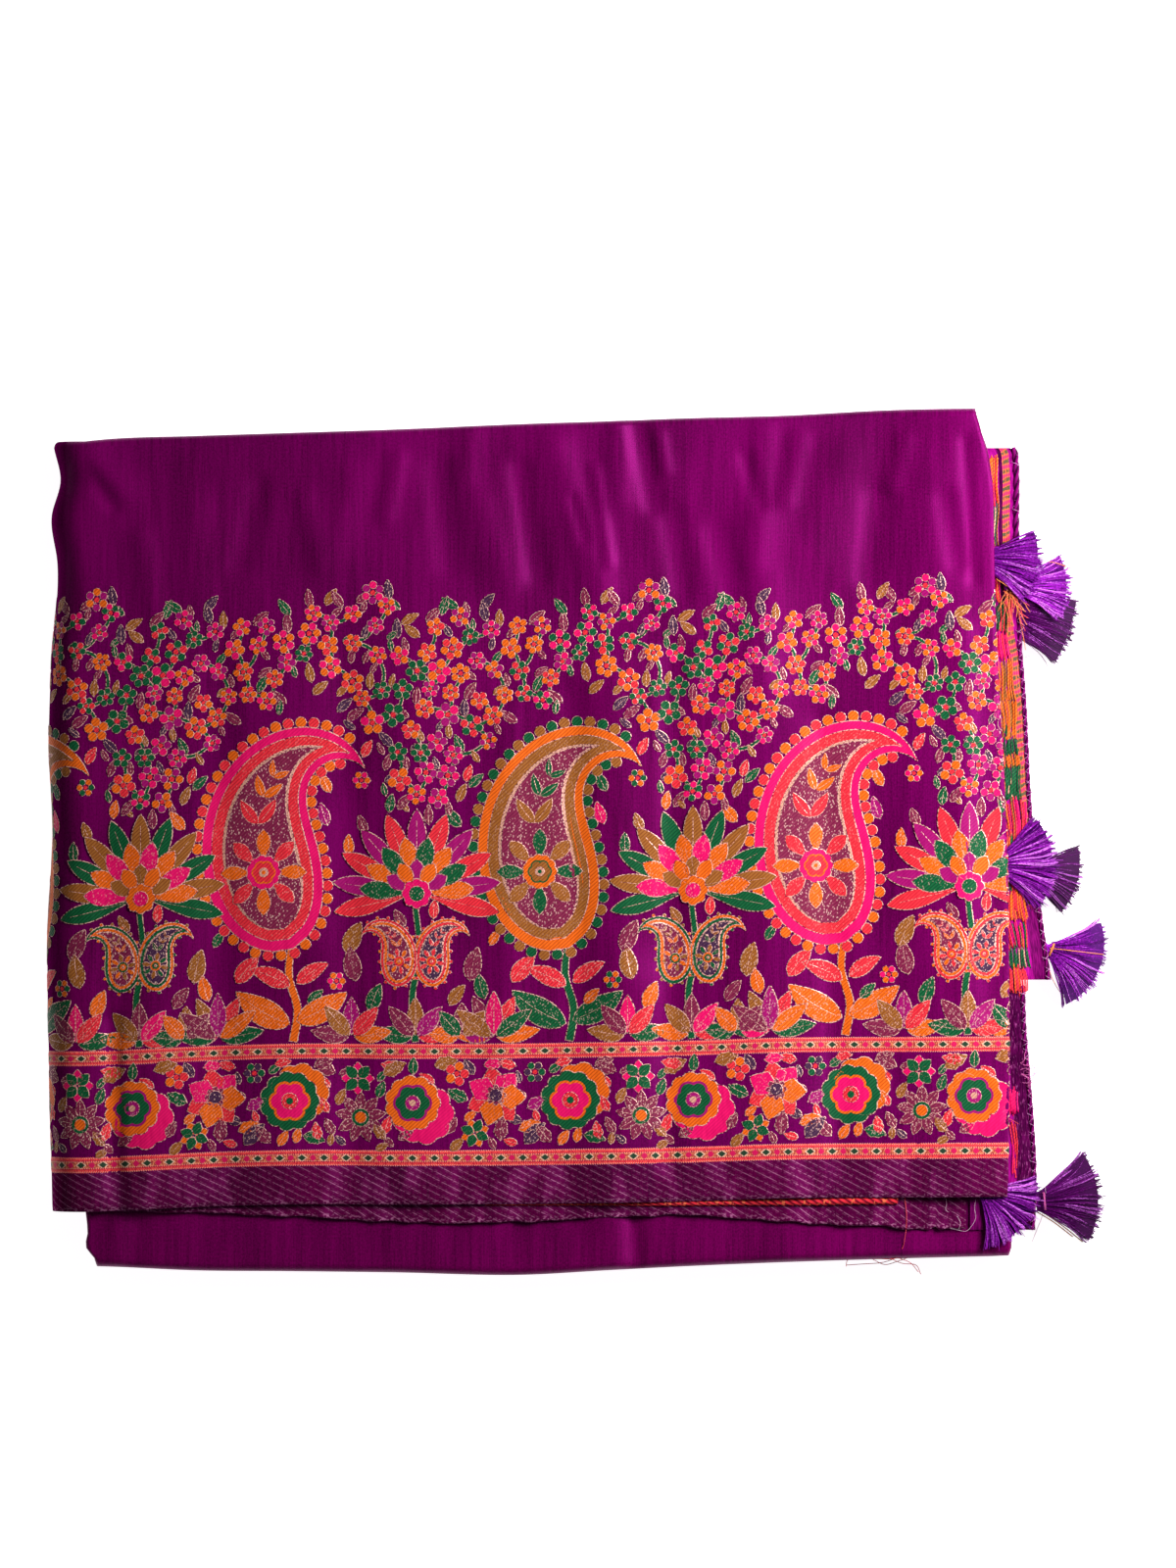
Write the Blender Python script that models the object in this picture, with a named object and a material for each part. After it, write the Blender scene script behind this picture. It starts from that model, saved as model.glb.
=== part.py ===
"""A silk saree with a deep woven border, folded into a flat bundle, with its tasselled end showing.

The cloth is folded in four across its width and in sixteen along its length. It lies on its
back, so +Z points up from the surface it rests on, +X runs along the cloth's length towards the
tasselled end, and +Y runs across its width, from the border's selvedge to the top fold.
"""

import math
from collections import namedtuple

import bmesh
import bpy
import numpy as np

MM = 0.001

# Thicknesses and clearances of the stack, from the surface upwards
BACK_WALL = 1.2 * MM
LOWER_WALL = 1.4 * MM
LOOSE_WALL = 1.2 * MM
FRONT_WALL = 1.2 * MM
SEAM = 0.35 * MM

# The hidden layers: how high they stand at the rim, and how much higher in the middle
STACK_RIM = 16.8 * MM
STACK_RISE = 1.3 * MM
HALF_LENGTH = 165 * MM
HALF_WIDTH = 145 * MM

# Radii of the three folds that show
WEST_TURN = 11.0 * MM
TOP_TURN = 2.3 * MM
LOWER_TURN = 3.0 * MM

# The front stretch is lifted where loose layers and tassel roots lie under it
PALLU_TUCK_X = 134.6 * MM
PALLU_LIFT = 3.4 * MM
SELVEDGE_TUCK_Y = -104.0 * MM
SELVEDGE_LIFT = 1.6 * MM
LIFT_RAMP = 34.0 * MM

# Plan outline, read at stations from west to east. All figures are millimetres.
Station = namedtuple("Station", "x top_fold selvedge second_selvedge lower_fold")
STATIONS = [
    Station(-182, 136.4, -127.6, -126.4, -146.0),
    Station(-162, 138.7, -127.1, -126.8, -146.4),
    Station(-132, 139.8, -125.7, -127.6, -147.7),
    Station(-98, 140.9, -124.7, -129.5, -148.0),
    Station(-64, 142.0, -124.8, -131.1, -148.4),
    Station(-17, 144.0, -124.6, -130.6, -149.2),
    Station(8, 144.8, -124.2, -129.8, -147.8),
    Station(37, 145.9, -123.7, -129.1, -146.3),
    Station(71, 146.8, -122.6, -130.8, -144.9),
    Station(105, 148.6, -122.4, -132.3, -143.8),
    Station(160, 149.3, -122.0, -132.5, -142.4),
]

# The two side edges, by their share of the way from the selvedge to the top fold
Side = namedtuple("Side", "share west east lower_west lower_east")
SIDES = [
    Side(0.00, -181.3, 147.7, -168.2, 150.2),
    Side(0.08, -181.8, 148.1, -170.0, 149.8),
    Side(0.17, -182.4, 148.3, -169.4, 149.2),
    Side(0.36, -183.0, 148.0, -168.8, 148.6),
    Side(0.50, -181.2, 147.0, -168.6, 148.0),
    Side(0.62, -182.6, 145.3, -168.6, 147.0),
    Side(0.72, -181.8, 143.9, -168.4, 145.8),
    Side(0.85, -179.7, 143.0, -167.6, 144.8),
    Side(0.91, -181.7, 142.6, -167.4, 144.2),
    Side(0.96, -178.6, 140.5, -167.2, 142.2),
    Side(1.00, -180.8, 137.2, -167.0, 139.5),
]

# Soft ridges of the front stretch: two ends, half-width and height, in millimetres
Ridge = namedtuple("Ridge", "x0 y0 x1 y1 spread height")
RIDGES = [
    Ridge(-8, 135, 7, 88, 7, 1.6),
    Ridge(14, 142, 14, 118, 5, 1.0),
    Ridge(-37, 142, -39, 125, 5, 0.8),
    Ridge(-34, 116, -25, 88, 6, 1.0),
    Ridge(-78, 125, -85, 101, 7, 0.8),
    Ridge(-132, 115, -132, 88, 6, 0.7),
    Ridge(64, 111, 62, 54, 10, 1.5),
    Ridge(91, 131, 81, 101, 9, 0.8),
    Ridge(118, 128, 122, 81, 10, 0.9),
    Ridge(-168, 133, -158, 121, 6, 1.0),
    Ridge(-169, -14, -169, -129, 6, 1.1),
    Ridge(-145, 0, -148, -129, 12, 1.4),
    Ridge(-103, 71, -101, -129, 14, 0.8),
    Ridge(-57, 74, -56, -129, 14, 0.9),
    Ridge(10, 54, 16, -47, 10, 1.2),
    Ridge(15, -48, 13, -129, 12, 1.8),
    Ridge(61, 54, 70, -129, 16, 1.6),
    Ridge(115, 54, 118, -129, 14, 0.9),
]

# The tasselled end comes out in two loose stretches. Their free edges, in millimetres
PalluEdge = namedtuple("PalluEdge", "y x")
UPPER_PALLU = [
    PalluEdge(135.6, 151.2),
    PalluEdge(108, 151.6),
    PalluEdge(70, 152.4),
    PalluEdge(54, 153.7),
    PalluEdge(15, 155.6),
    PalluEdge(-24, 158.4),
    PalluEdge(-47.5, 161.4),
]
LOWER_PALLU = [
    PalluEdge(-49.5, 153.0),
    PalluEdge(-65, 153.6),
    PalluEdge(-81, 155.0),
    PalluEdge(-96, 156.4),
    PalluEdge(-112, 157.4),
    PalluEdge(-133.6, 156.6),
]
PALLU_DROOP = 1.6 * MM
DROOP_START_X = 152.0 * MM
DROOP_RUN = 8 * MM
EDGE_CORD_RADIUS = 0.85 * MM

# Tassels: root, pointing angle and half-spread in degrees, reach, and the heights of the lowest
# strands at the three steps from root to tip
Tassel = namedtuple("Tassel", "name x y z angle fan reach near middle tip tone")
TASSELS = [
    Tassel("tassel_1", 137.6, 98.0, 21.70, -9, 26, 22.5, 21.25, 23.3, 22.9, "light"),
    Tassel("tassel_2", 149.8, 88.0, 21.62, -12, 26, 21.0, 21.3, 18.9, 15.0, "light"),
    Tassel("tassel_3", 156.2, 78.0, 17.30, -26, 25, 19.5, 14.8, 9.5, 0.9, "deep"),
    Tassel("tassel_4", 142.6, -9.0, 21.70, 2, 34, 22.5, 21.4, 20.95, 20.2, "light"),
    Tassel("tassel_5", 160.6, -9.5, 16.20, -12, 26, 18.5, 13.6, 8.5, 0.9, "deep"),
    Tassel("tassel_6", 165.6, -36.4, 17.20, -28, 40, 18.0, 14.5, 9.0, 0.9, "light"),
    Tassel("tassel_7", 141.6, -121.0, 21.50, -36, 40, 20.5, 21.2, 21.0, 20.9, "light"),
    Tassel("tassel_8", 161.2, -124.6, 16.60, 3, 42, 21.5, 13.8, 8.4, 0.9, "deep"),
]
# The locks of a tassel: how many across and deep, and where their cross-sections lie
LOCK_COLUMNS = 6
LOCK_ROWS = 3
LOCK_STEPS = (0.3, 0.65, 1.0)
LOCK_FILL = 0.62
# Half a lock's thickness and the height from row to row, at the root and what each gains by the tip
LOCK_HALF_THICKNESS = (0.085 * MM, 0.135 * MM)
ROW_SPACING = (0.36 * MM, 0.30 * MM)
ROW_STAGGER = 0.16
ROW_STEP_BACK = 0.03

# Tassel head along its own axis: place, width and thickness, in millimetres
HeadRing = namedtuple("HeadRing", "along width thick")
HEAD = [
    HeadRing(-3.4, 1.3, 0.8),
    HeadRing(-2.5, 2.8, 1.5),
    HeadRing(-1.2, 2.3, 1.2),
    HeadRing(0.0, 3.6, 1.5),
]

# Rows of the front stretch, by their share of the way from the selvedge to the top fold
PANEL_SHARES = np.linspace(0, 1, 23)
SECOND_SELVEDGE_ENDS = (-166 * MM, 133.4 * MM)

# The coral stripe that is rolled between the two selvedges
ROLL_ENDS = (-32 * MM, 110 * MM)
ROLL_WIDTHS = (0.7 * MM, 1.8 * MM)
ROLL_HEIGHT = 0.9 * MM

# Sides of the hidden layers: a ridge for each fold, and a round side at the west
CORE_RIDGES = 9
CORE_RIDGE_DEPTH = 1.1 * MM
CORE_INSET = 0.6 * MM
CORE_CORNER = 8 * MM
CORE_ROUNDING = 8.2 * MM
CORE_FADE_X = -150 * MM
CORE_FADE_RUN = 20 * MM
CoreSide = namedtuple("CoreSide", "y x")
CORE_WEST = [
    CoreSide(130, -171.3),
    CoreSide(112, -177.1),
    CoreSide(56, -177.1),
    CoreSide(0, -177.1),
    CoreSide(-56, -177.1),
    CoreSide(-108, -177.1),
    CoreSide(-120, -173.4),
    CoreSide(-126, -169.8),
    CoreSide(-134, -169.6),
    CoreSide(-141, -169.6),
]
# How far the lowest and the highest rings are drawn in, in millimetres, counted from each end
RIM_INSETS = {0: 3.6, 1: 1.2, -1: 5.0, -2: 2.2}
CORE_TOP_SHARES = (0.86, 0.55, 0.2)

COLOURS = {
    "purple": (0.190, 0.010, 0.160),
    "reverse": (0.62, 0.16, 0.08),
    "cord": (0.130, 0.012, 0.130),
    "coral": (0.76, 0.10, 0.09),
    "light": (0.24, 0.04, 0.48),
    "deep": (0.10, 0.012, 0.21),
}


def material(tone):
    """A silk-like finish of one colour, made once and shared."""
    name = "silk_" + tone
    made = bpy.data.materials.get(name)
    if made is None:
        made = bpy.data.materials.new(name)
        made.use_nodes = True
        shader = made.node_tree.nodes["Principled BSDF"]
        shader.inputs["Base Color"].default_value = (*COLOURS[tone], 1)
        shader.inputs["Roughness"].default_value = 0.42
        shader.inputs["Metallic"].default_value = 0.0
        shader.inputs["Sheen Weight"].default_value = 0.3
    return made


def through(knots, values):
    """A smooth function through the knots: cubic between them, flat beyond the ends."""
    knots, values = np.asarray(knots, float), np.asarray(values, float)
    slopes = np.gradient(values, knots)

    def at(x):
        x = np.clip(x, knots[0], knots[-1])
        i = np.clip(np.searchsorted(knots, x) - 1, 0, len(knots) - 2)
        span = knots[i + 1] - knots[i]
        t = (x - knots[i]) / span
        rise = values[i + 1] - values[i]
        bow = (1 - t) * (slopes[i] * span - rise) - t * (slopes[i + 1] * span - rise)
        return values[i] + t * rise + t * (1 - t) * bow

    return at


def column(table, key, name):
    """A smooth function of one table's key column, in metres."""
    rows = sorted(table, key=lambda row: getattr(row, key))
    scale = 1 if key == "share" else MM
    knots = [getattr(row, key) * scale for row in rows]
    return through(knots, [getattr(row, name) * MM for row in rows])


TOP_FOLD_Y = column(STATIONS, "x", "top_fold")
SELVEDGE_Y = column(STATIONS, "x", "selvedge")
SECOND_SELVEDGE_Y = column(STATIONS, "x", "second_selvedge")
LOWER_FOLD_Y = column(STATIONS, "x", "lower_fold")
WEST_X = column(SIDES, "share", "west")
EAST_X = column(SIDES, "share", "east")
LOWER_WEST_X = column(SIDES, "share", "lower_west")
LOWER_EAST_X = column(SIDES, "share", "lower_east")


def ease(t):
    """0 below 0, 1 above 1, and a smooth rise between."""
    t = np.clip(t, 0, 1)
    return t * t * (3 - 2 * t)


def stack_top(x, y):
    """Top of the hidden layers: a shallow dome, nearly flat in the middle."""
    across = 1 - np.clip(np.abs(x) / HALF_LENGTH, 0, 1) ** 4
    along = 1 - np.clip(np.abs(y) / HALF_WIDTH, 0, 1) ** 4
    return STACK_RIM + STACK_RISE * across * along


def relief(x, y):
    """Sum of the soft ridges: each is highest along its line and dies away beside it."""
    total = np.zeros(np.broadcast(x, y).shape)
    for ridge in RIDGES:
        start = np.array([ridge.x0, ridge.y0]) * MM
        run = np.array([ridge.x1, ridge.y1]) * MM - start
        share = ((x - start[0]) * run[0] + (y - start[1]) * run[1]) / (run @ run)
        share = np.clip(share, 0, 1)
        gap_x = x - start[0] - share * run[0]
        gap_y = y - start[1] - share * run[1]
        apart = (gap_x**2 + gap_y**2) / (ridge.spread * MM) ** 2
        total = total + ridge.height * MM * np.exp(-apart)
    return total


def front_lift(x, y):
    """How far the front stretch is raised over the loose layers at its east and south edges."""
    east = PALLU_LIFT * ease((x - PALLU_TUCK_X) / LIFT_RAMP + 1)
    south = SELVEDGE_LIFT * ease((SELVEDGE_TUCK_Y - y) / LIFT_RAMP + 1)
    return np.maximum(east, south)


def level_two(x, y):
    """Underside of a layer that lies straight on the lower stretch."""
    return stack_top(x, y) + SEAM + LOWER_WALL + SEAM


def front_top(x, y):
    """Outer surface of the front stretch."""
    return level_two(x, y) + front_lift(x, y) + relief(x, y) + FRONT_WALL


def pallu_top(x, y):
    """Upper surface of the tasselled end, which droops once it is past the stack."""
    droop = PALLU_DROOP * ease((x - DROOP_START_X) / DROOP_RUN)
    return level_two(x, y) + LOOSE_WALL - droop


def new_object(name, mesh, tone):
    obj = bpy.data.objects.new(name, mesh)
    bpy.context.scene.collection.objects.link(obj)
    mesh.materials.append(material(tone))
    mesh.shade_smooth()
    mesh.set_sharp_from_angle(angle=math.radians(50))
    return obj


def sheet_mesh(name, points):
    """Quads over a rows by columns array of points, facing the side where rows x columns is up."""
    rows, columns = points.shape[:2]
    index = np.arange(rows * columns).reshape(rows, columns)
    corners = (index[:-1, :-1], index[:-1, 1:], index[1:, 1:], index[1:, :-1])
    quads = np.stack([c.ravel() for c in corners], axis=1)
    mesh = bpy.data.meshes.new(name)
    mesh.from_pydata(points.reshape(-1, 3).tolist(), [], quads.tolist())
    return mesh


def cloth_wall(name, points, thickness, tone):
    """A stretch of cloth: the outer surface, given a wall on its inner side."""
    obj = new_object(name, sheet_mesh(name, points), tone)
    solid = obj.modifiers.new("wall", "SOLIDIFY")
    solid.thickness = thickness
    solid.offset = -1
    solid.use_even_offset = True
    return obj


def lofted(name, rings, tone):
    """A closed body through rings of equally many points, with a flat face on each end."""
    mesh = bmesh.new()
    loops = [[mesh.verts.new(point) for point in ring] for ring in rings]
    for lower, upper in zip(loops, loops[1:]):
        for k in range(len(lower)):
            mesh.faces.new((lower[k - 1], lower[k], upper[k], upper[k - 1]))
    mesh.faces.new(reversed(loops[0]))
    mesh.faces.new(loops[-1])
    return closed_object(name, mesh, tone)


def closed_object(name, mesh, tone):
    """An object from a closed bmesh, with its faces turned to the outside."""
    bmesh.ops.recalc_face_normals(mesh, faces=mesh.faces)
    data = bpy.data.meshes.new(name)
    mesh.to_mesh(data)
    mesh.free()
    return new_object(name, data, tone)


def front_panel():
    """The top stretch with the border: over the bundle, round its west side and over its top fold.

    Rows run from the selvedge to the top fold and round it. Columns run from the end of the west
    turn, under the bundle, up round the turn and across to the east edge.
    """
    turn_steps, flat_steps, fold_steps = 9, 32, 4
    turn = np.linspace(math.pi, 0, turn_steps, endpoint=False)
    across = np.linspace(0, 1, flat_steps)
    fold_angles = np.linspace(0, math.radians(150), fold_steps + 1)[1:]
    shares = np.append(PANEL_SHARES, np.ones(fold_steps))
    round_fold = np.append(np.zeros(len(PANEL_SHARES)), fold_angles)
    rows = []
    for share, fold in zip(shares, round_fold):
        west, east = WEST_X(share), EAST_X(share)
        start = west + WEST_TURN
        x = start + (east - start) * across
        drop = TOP_TURN * (1 - math.cos(fold))
        top_y = TOP_FOLD_Y(x) - TOP_TURN
        y = SELVEDGE_Y(x) + (top_y - SELVEDGE_Y(x)) * share + TOP_TURN * math.sin(fold)
        flat = np.stack([x, y, front_top(x, y) - drop], axis=1)
        height = front_top(start, y[0])
        reach = np.sin(turn)
        curved = np.stack(
            [
                west + WEST_TURN * (1 - reach) + drop * reach,
                np.full(turn_steps, y[0]),
                height / 2 * (1 + np.cos(turn)) - drop * np.cos(turn),
            ],
            axis=1,
        )
        rows.append(np.concatenate([curved, flat]))
    return cloth_wall("front_panel", np.array(rows), FRONT_WALL, "purple")


def lower_fold():
    """The plain stretch under the front one, which stands out below it and turns down in a fold."""
    flat_shares = np.array([0.0, 0.05, 0.11, 0.18, 0.3, 0.42, 0.54, 0.66, 0.78, 0.9, 1.0])
    turn = np.linspace(math.radians(80), 0, 4, endpoint=False)
    across = np.linspace(0, 1, 24)
    rows = []
    for share, angle in [(0.0, a) for a in turn] + [(s, 0.0) for s in flat_shares]:
        west, east = LOWER_WEST_X(share), LOWER_EAST_X(share)
        x = west + (east - west) * across
        south = LOWER_FOLD_Y(x) + LOWER_TURN
        north = TOP_FOLD_Y(x) - 1.5 * TOP_TURN
        y = south + (north - south) * share - LOWER_TURN * math.sin(angle)
        top = stack_top(x, y) + SEAM + LOWER_WALL
        rows.append(np.stack([x, y, top - LOWER_TURN * (1 - math.cos(angle))], axis=1))
    return cloth_wall("lower_fold", np.array(rows), LOWER_WALL, "purple")


def second_selvedge():
    """The selvedge of the layer behind the front one, which shows as a strip below it."""
    x = np.linspace(*SECOND_SELVEDGE_ENDS, 26)
    south = SECOND_SELVEDGE_Y(x)
    rows = []
    for share in np.linspace(0, 1, 5):
        y = south + (SELVEDGE_TUCK_Y - south) * share
        rows.append(np.stack([x, y, level_two(x, y) + LOOSE_WALL], axis=1))
    return cloth_wall("second_selvedge", np.array(rows), LOOSE_WALL, "purple")


def pallu_edge_line(table):
    """Points along the free edge of one stretch of the tasselled end, from south to north."""
    edge_x = column(table, "y", "x")
    south, north = table[-1].y * MM, table[0].y * MM
    y = np.linspace(south, north, max(8, round((north - south) / (7 * MM))))
    x = edge_x(y)
    return np.stack([x, y, pallu_top(x, y)], axis=1)


def pallu(name, table):
    """One stretch of the tasselled end: tucked under the front edge, drooping past the stack."""
    edge = pallu_edge_line(table)
    tuck = PALLU_TUCK_X + SEAM
    columns = []
    for share in np.linspace(0, 1, 7):
        x = tuck + (edge[:, 0] - tuck) * share
        columns.append(np.stack([x, edge[:, 1], pallu_top(x, edge[:, 1])], axis=1))
    points = np.array(columns).transpose(1, 0, 2)
    return cloth_wall(name, points, LOOSE_WALL, "reverse")


def edge_cord(name, table):
    """The whipped edge: a round cord that lies along the free edge of the tasselled end."""
    line = pallu_edge_line(table)
    line[:, 0] += EDGE_CORD_RADIUS + SEAM
    line[:, 2] -= LOOSE_WALL / 2
    curve = bpy.data.curves.new(name, "CURVE")
    curve.dimensions = "3D"
    curve.bevel_depth = EDGE_CORD_RADIUS
    curve.bevel_resolution = 1
    curve.use_fill_caps = True
    spline = curve.splines.new("POLY")
    spline.points.add(len(line) - 1)
    spline.points.foreach_set("co", np.column_stack([line, np.ones(len(line))]).ravel())
    curve.materials.append(material("cord"))
    obj = bpy.data.objects.new(name, curve)
    bpy.context.scene.collection.objects.link(obj)
    return obj


def coral_roll():
    """The rolled guard stripe that peeps out between the two selvedges, as a slim wedge."""
    length = 26
    x = np.linspace(*ROLL_ENDS, length)
    width = np.linspace(*ROLL_WIDTHS, length)
    y = SELVEDGE_Y(x) - SEAM
    base = level_two(x, y) + LOOSE_WALL + SEAM
    corners = ((0, 0), (-1, 0), (-0.7, 0.9), (0, 1))
    sides = [np.stack([x, y + width * across, base + ROLL_HEIGHT * up], axis=1)
             for across, up in corners]
    return lofted("coral_roll", np.stack(sides, axis=1), "coral")


def core_outline():
    """Plan outline of the hidden layers, anticlockwise from the south-west corner."""
    west = np.array([(row.x, row.y) for row in CORE_WEST]) * MM
    x = np.linspace(west[-1, 0] + CORE_INSET, EAST_X(0) + CORE_INSET, 20)
    south = np.stack([x, LOWER_FOLD_Y(x) + CORE_INSET], axis=1)
    share = np.linspace(0.03, 0.97, 12)
    low, high = LOWER_FOLD_Y(0) + CORE_CORNER, TOP_FOLD_Y(0) - CORE_CORNER / 2
    east = np.stack([LOWER_EAST_X(share) - CORE_INSET, low + share * (high - low)], axis=1)
    north_x = np.linspace(LOWER_EAST_X(1) + 2 * CORE_INSET, west[0, 0] - CORE_INSET, 20)
    north = np.stack([north_x, TOP_FOLD_Y(north_x) - CORE_INSET], axis=1)
    return np.concatenate([south, east, north, west])


def inner_layers():
    """All the hidden layers as one rounded solid, with a ridge round its sides for each fold.

    The rings climb from the underside to the top. A ring is the outline drawn in by an inset that
    swings between crest and valley. The west side is one round turn, so its ridges fade out.
    """
    outline = core_outline()
    centre = outline.mean(axis=0)
    ahead = np.roll(outline, -1, axis=0) - np.roll(outline, 1, axis=0)
    inward = np.stack([-ahead[:, 1], ahead[:, 0]], axis=1)
    inward /= np.linalg.norm(inward, axis=1)[:, None]
    west = ease((CORE_FADE_X - outline[:, 0]) / CORE_FADE_RUN)[:, None]
    steps = 2 * CORE_RIDGES + 1
    rings = []
    for step in range(steps):
        level = step / (steps - 1)
        rim = RIM_INSETS.get(step, RIM_INSETS.get(step - steps, 0)) * MM
        swing = CORE_RIDGE_DEPTH * (step % 2 == 0)
        turned = CORE_ROUNDING * (1 - math.sqrt(max(0.0, 1 - (2 * level - 1) ** 2)))
        inset = (rim + swing) * (1 - west) + turned * west
        z = BACK_WALL + SEAM + (STACK_RIM - BACK_WALL - SEAM) * level
        plan = outline + inward * inset
        rings.append(np.column_stack([plan, np.full(len(plan), z)]))
    rim_plan = rings[-1][:, :2]
    for share in CORE_TOP_SHARES:
        plan = centre + (rim_plan - centre) * share
        rings.append(np.column_stack([plan, stack_top(plan[:, 0], plan[:, 1])]))
    return lofted("inner_layers", rings, "purple")


def back_panel():
    """The flat stretch that the bundle rests on, with a softened edge all round."""
    west_x = WEST_X(PANEL_SHARES) + WEST_TURN + 3 * SEAM
    x = np.linspace(west_x[0] + 3 * MM, EAST_X(0) - SEAM, 18)
    south = np.stack([x, SELVEDGE_Y(x)], axis=1)
    north = np.stack([x[::-1], TOP_FOLD_Y(x[::-1]) - 1.5 * MM], axis=1)
    depth = TOP_FOLD_Y(west_x) - 1.5 * MM - SELVEDGE_Y(west_x)
    west = np.stack([west_x, SELVEDGE_Y(west_x) + depth * PANEL_SHARES], axis=1)[::-1]
    outline = np.concatenate([south, north, west])
    inset = np.sign(outline - outline.mean(axis=0)) * BACK_WALL / 3
    rings = []
    for drawn_in, height in ((1, 0), (0, 1 / 3), (0, 2 / 3), (1, 1)):
        plan = outline - inset * drawn_in
        rings.append(np.column_stack([plan, np.full(len(plan), height * BACK_WALL)]))
    return lofted("back_panel", rings, "purple")


def disc_point(p, q, width, thick):
    """A point of the square -1..1 moved onto an ellipse of that width and thickness."""
    return (
        width / 2 * MM * p * math.sqrt(1 - q * q / 2),
        thick / 2 * MM * q * math.sqrt(1 - p * p / 2),
    )


def lattice_rim():
    """Lattice places round the edge of the tassel's front face, anticlockwise."""
    wide, high = LOCK_COLUMNS, LOCK_ROWS
    bottom = [(i, 0) for i in range(wide)]
    right = [(wide, k) for k in range(high)]
    top = [(i, high) for i in range(wide, 0, -1)]
    left = [(0, k) for k in range(high, 0, -1)]
    return bottom + right + top + left


def lock_sections(spec, i, k):
    """Cross-sections of one lock: centre, sideways vector and upward vector, root to tip.

    Locks fan out by column and lie row above row, so the heights given are the lowest row's.
    """
    p = (i + 0.5) / LOCK_COLUMNS * 2 - 1
    q = (k + 0.5) / LOCK_ROWS * 2 - 1
    root_y, _ = disc_point(p, q, HEAD[-1].width, HEAD[-1].thick)
    stagger = (k - 1) * ROW_STAGGER / LOCK_COLUMNS
    angle = math.radians(spec.fan) * (p + stagger)
    shorter = 0.06 * abs(p) + 0.05 * (2 * i % 3) + ROW_STEP_BACK * (LOCK_ROWS - 1 - k)
    reach = spec.reach * MM * (1 - shorter)
    heights = (spec.near, spec.middle, spec.tip)
    for t, height in zip(LOCK_STEPS, heights):
        spacing = HEAD[-1].width / LOCK_COLUMNS * MM
        spacing += 2 * math.radians(spec.fan) / LOCK_COLUMNS * reach * t
        rise = (height - spec.z) * MM + k * (ROW_SPACING[0] + ROW_SPACING[1] * t)
        centre = np.array([reach * t * math.cos(angle), root_y + reach * t * math.sin(angle), rise])
        side = np.array([-math.sin(angle), math.cos(angle), 0]) * spacing * LOCK_FILL / 2
        up = np.array([0, 0, LOCK_HALF_THICKNESS[0] + LOCK_HALF_THICKNESS[1] * t])
        yield centre, side, up


def tassel(spec):
    """One tassel: a bound head whose front face is drawn out, cell by cell, into flat locks."""
    mesh = bmesh.new()
    rim = lattice_rim()

    def vertex(i, k, ring):
        p, q = i / LOCK_COLUMNS * 2 - 1, k / LOCK_ROWS * 2 - 1
        return mesh.verts.new((ring.along * MM, *disc_point(p, q, ring.width, ring.thick)))

    rings = [{place: vertex(*place, ring) for place in rim} for ring in HEAD[:-1]]
    inside = [(i, k) for i in range(1, LOCK_COLUMNS) for k in range(1, LOCK_ROWS)]
    front = {place: vertex(*place, HEAD[-1]) for place in rim + inside}
    rings.append(front)
    for back, ahead in zip(rings, rings[1:]):
        for one, two in zip(rim, rim[1:] + rim[:1]):
            mesh.faces.new((back[one], back[two], ahead[two], ahead[one]))
    mesh.faces.new([rings[0][place] for place in rim])
    for i in range(LOCK_COLUMNS):
        for k in range(LOCK_ROWS):
            corners = [front[i, k], front[i + 1, k], front[i + 1, k + 1], front[i, k + 1]]
            middle = sum((c.co for c in corners), corners[0].co * 0) / 4
            root = [mesh.verts.new(middle + (c.co - middle) * LOCK_FILL) for c in corners]
            loops = [corners, root]
            for centre, side, up in lock_sections(spec, i, k):
                ends = (-side - up, side - up, side + up, -side + up)
                loops.append([mesh.verts.new(centre + end) for end in ends])
            for near, far in zip(loops, loops[1:]):
                for n in range(4):
                    mesh.faces.new((near[n - 1], near[n], far[n], far[n - 1]))
            mesh.faces.new(loops[-1])
    obj = closed_object(spec.name, mesh, spec.tone)
    obj.location = (spec.x * MM, spec.y * MM, spec.z * MM)
    obj.rotation_euler.z = math.radians(spec.angle)
    return obj


def stand_on_origin(objects):
    """Moves everything so that the origin is under the middle of the bundle, on the surface."""
    bpy.context.view_layer.update()
    graph = bpy.context.evaluated_depsgraph_get()
    corners = []
    for obj in objects:
        shown = obj.evaluated_get(graph)
        mesh = shown.to_mesh()
        points = np.empty(len(mesh.vertices) * 3, np.float32)
        mesh.vertices.foreach_get("co", points)
        shown.to_mesh_clear()
        place = np.array(obj.matrix_world)
        corners.append(points.reshape(-1, 3) @ place[:3, :3].T + place[:3, 3])
    everything = np.concatenate(corners)
    low, high = everything.min(axis=0), everything.max(axis=0)
    frame = bpy.data.objects.new("saree", None)
    bpy.context.scene.collection.objects.link(frame)
    for obj in objects:
        obj.parent = frame
    frame.location = (-(low[0] + high[0]) / 2, -(low[1] + high[1]) / 2, -low[2])


def main():
    for old in list(bpy.data.objects):
        bpy.data.objects.remove(old)
    pieces = [front_panel(), lower_fold(), second_selvedge(), inner_layers(), back_panel()]
    pieces += [pallu("pallu_upper", UPPER_PALLU), pallu("pallu_lower", LOWER_PALLU)]
    pieces += [edge_cord("pallu_cord_upper", UPPER_PALLU)]
    pieces += [edge_cord("pallu_cord_lower", LOWER_PALLU), coral_roll()]
    pieces += [tassel(spec) for spec in TASSELS]
    stand_on_origin(pieces)


main()
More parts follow.
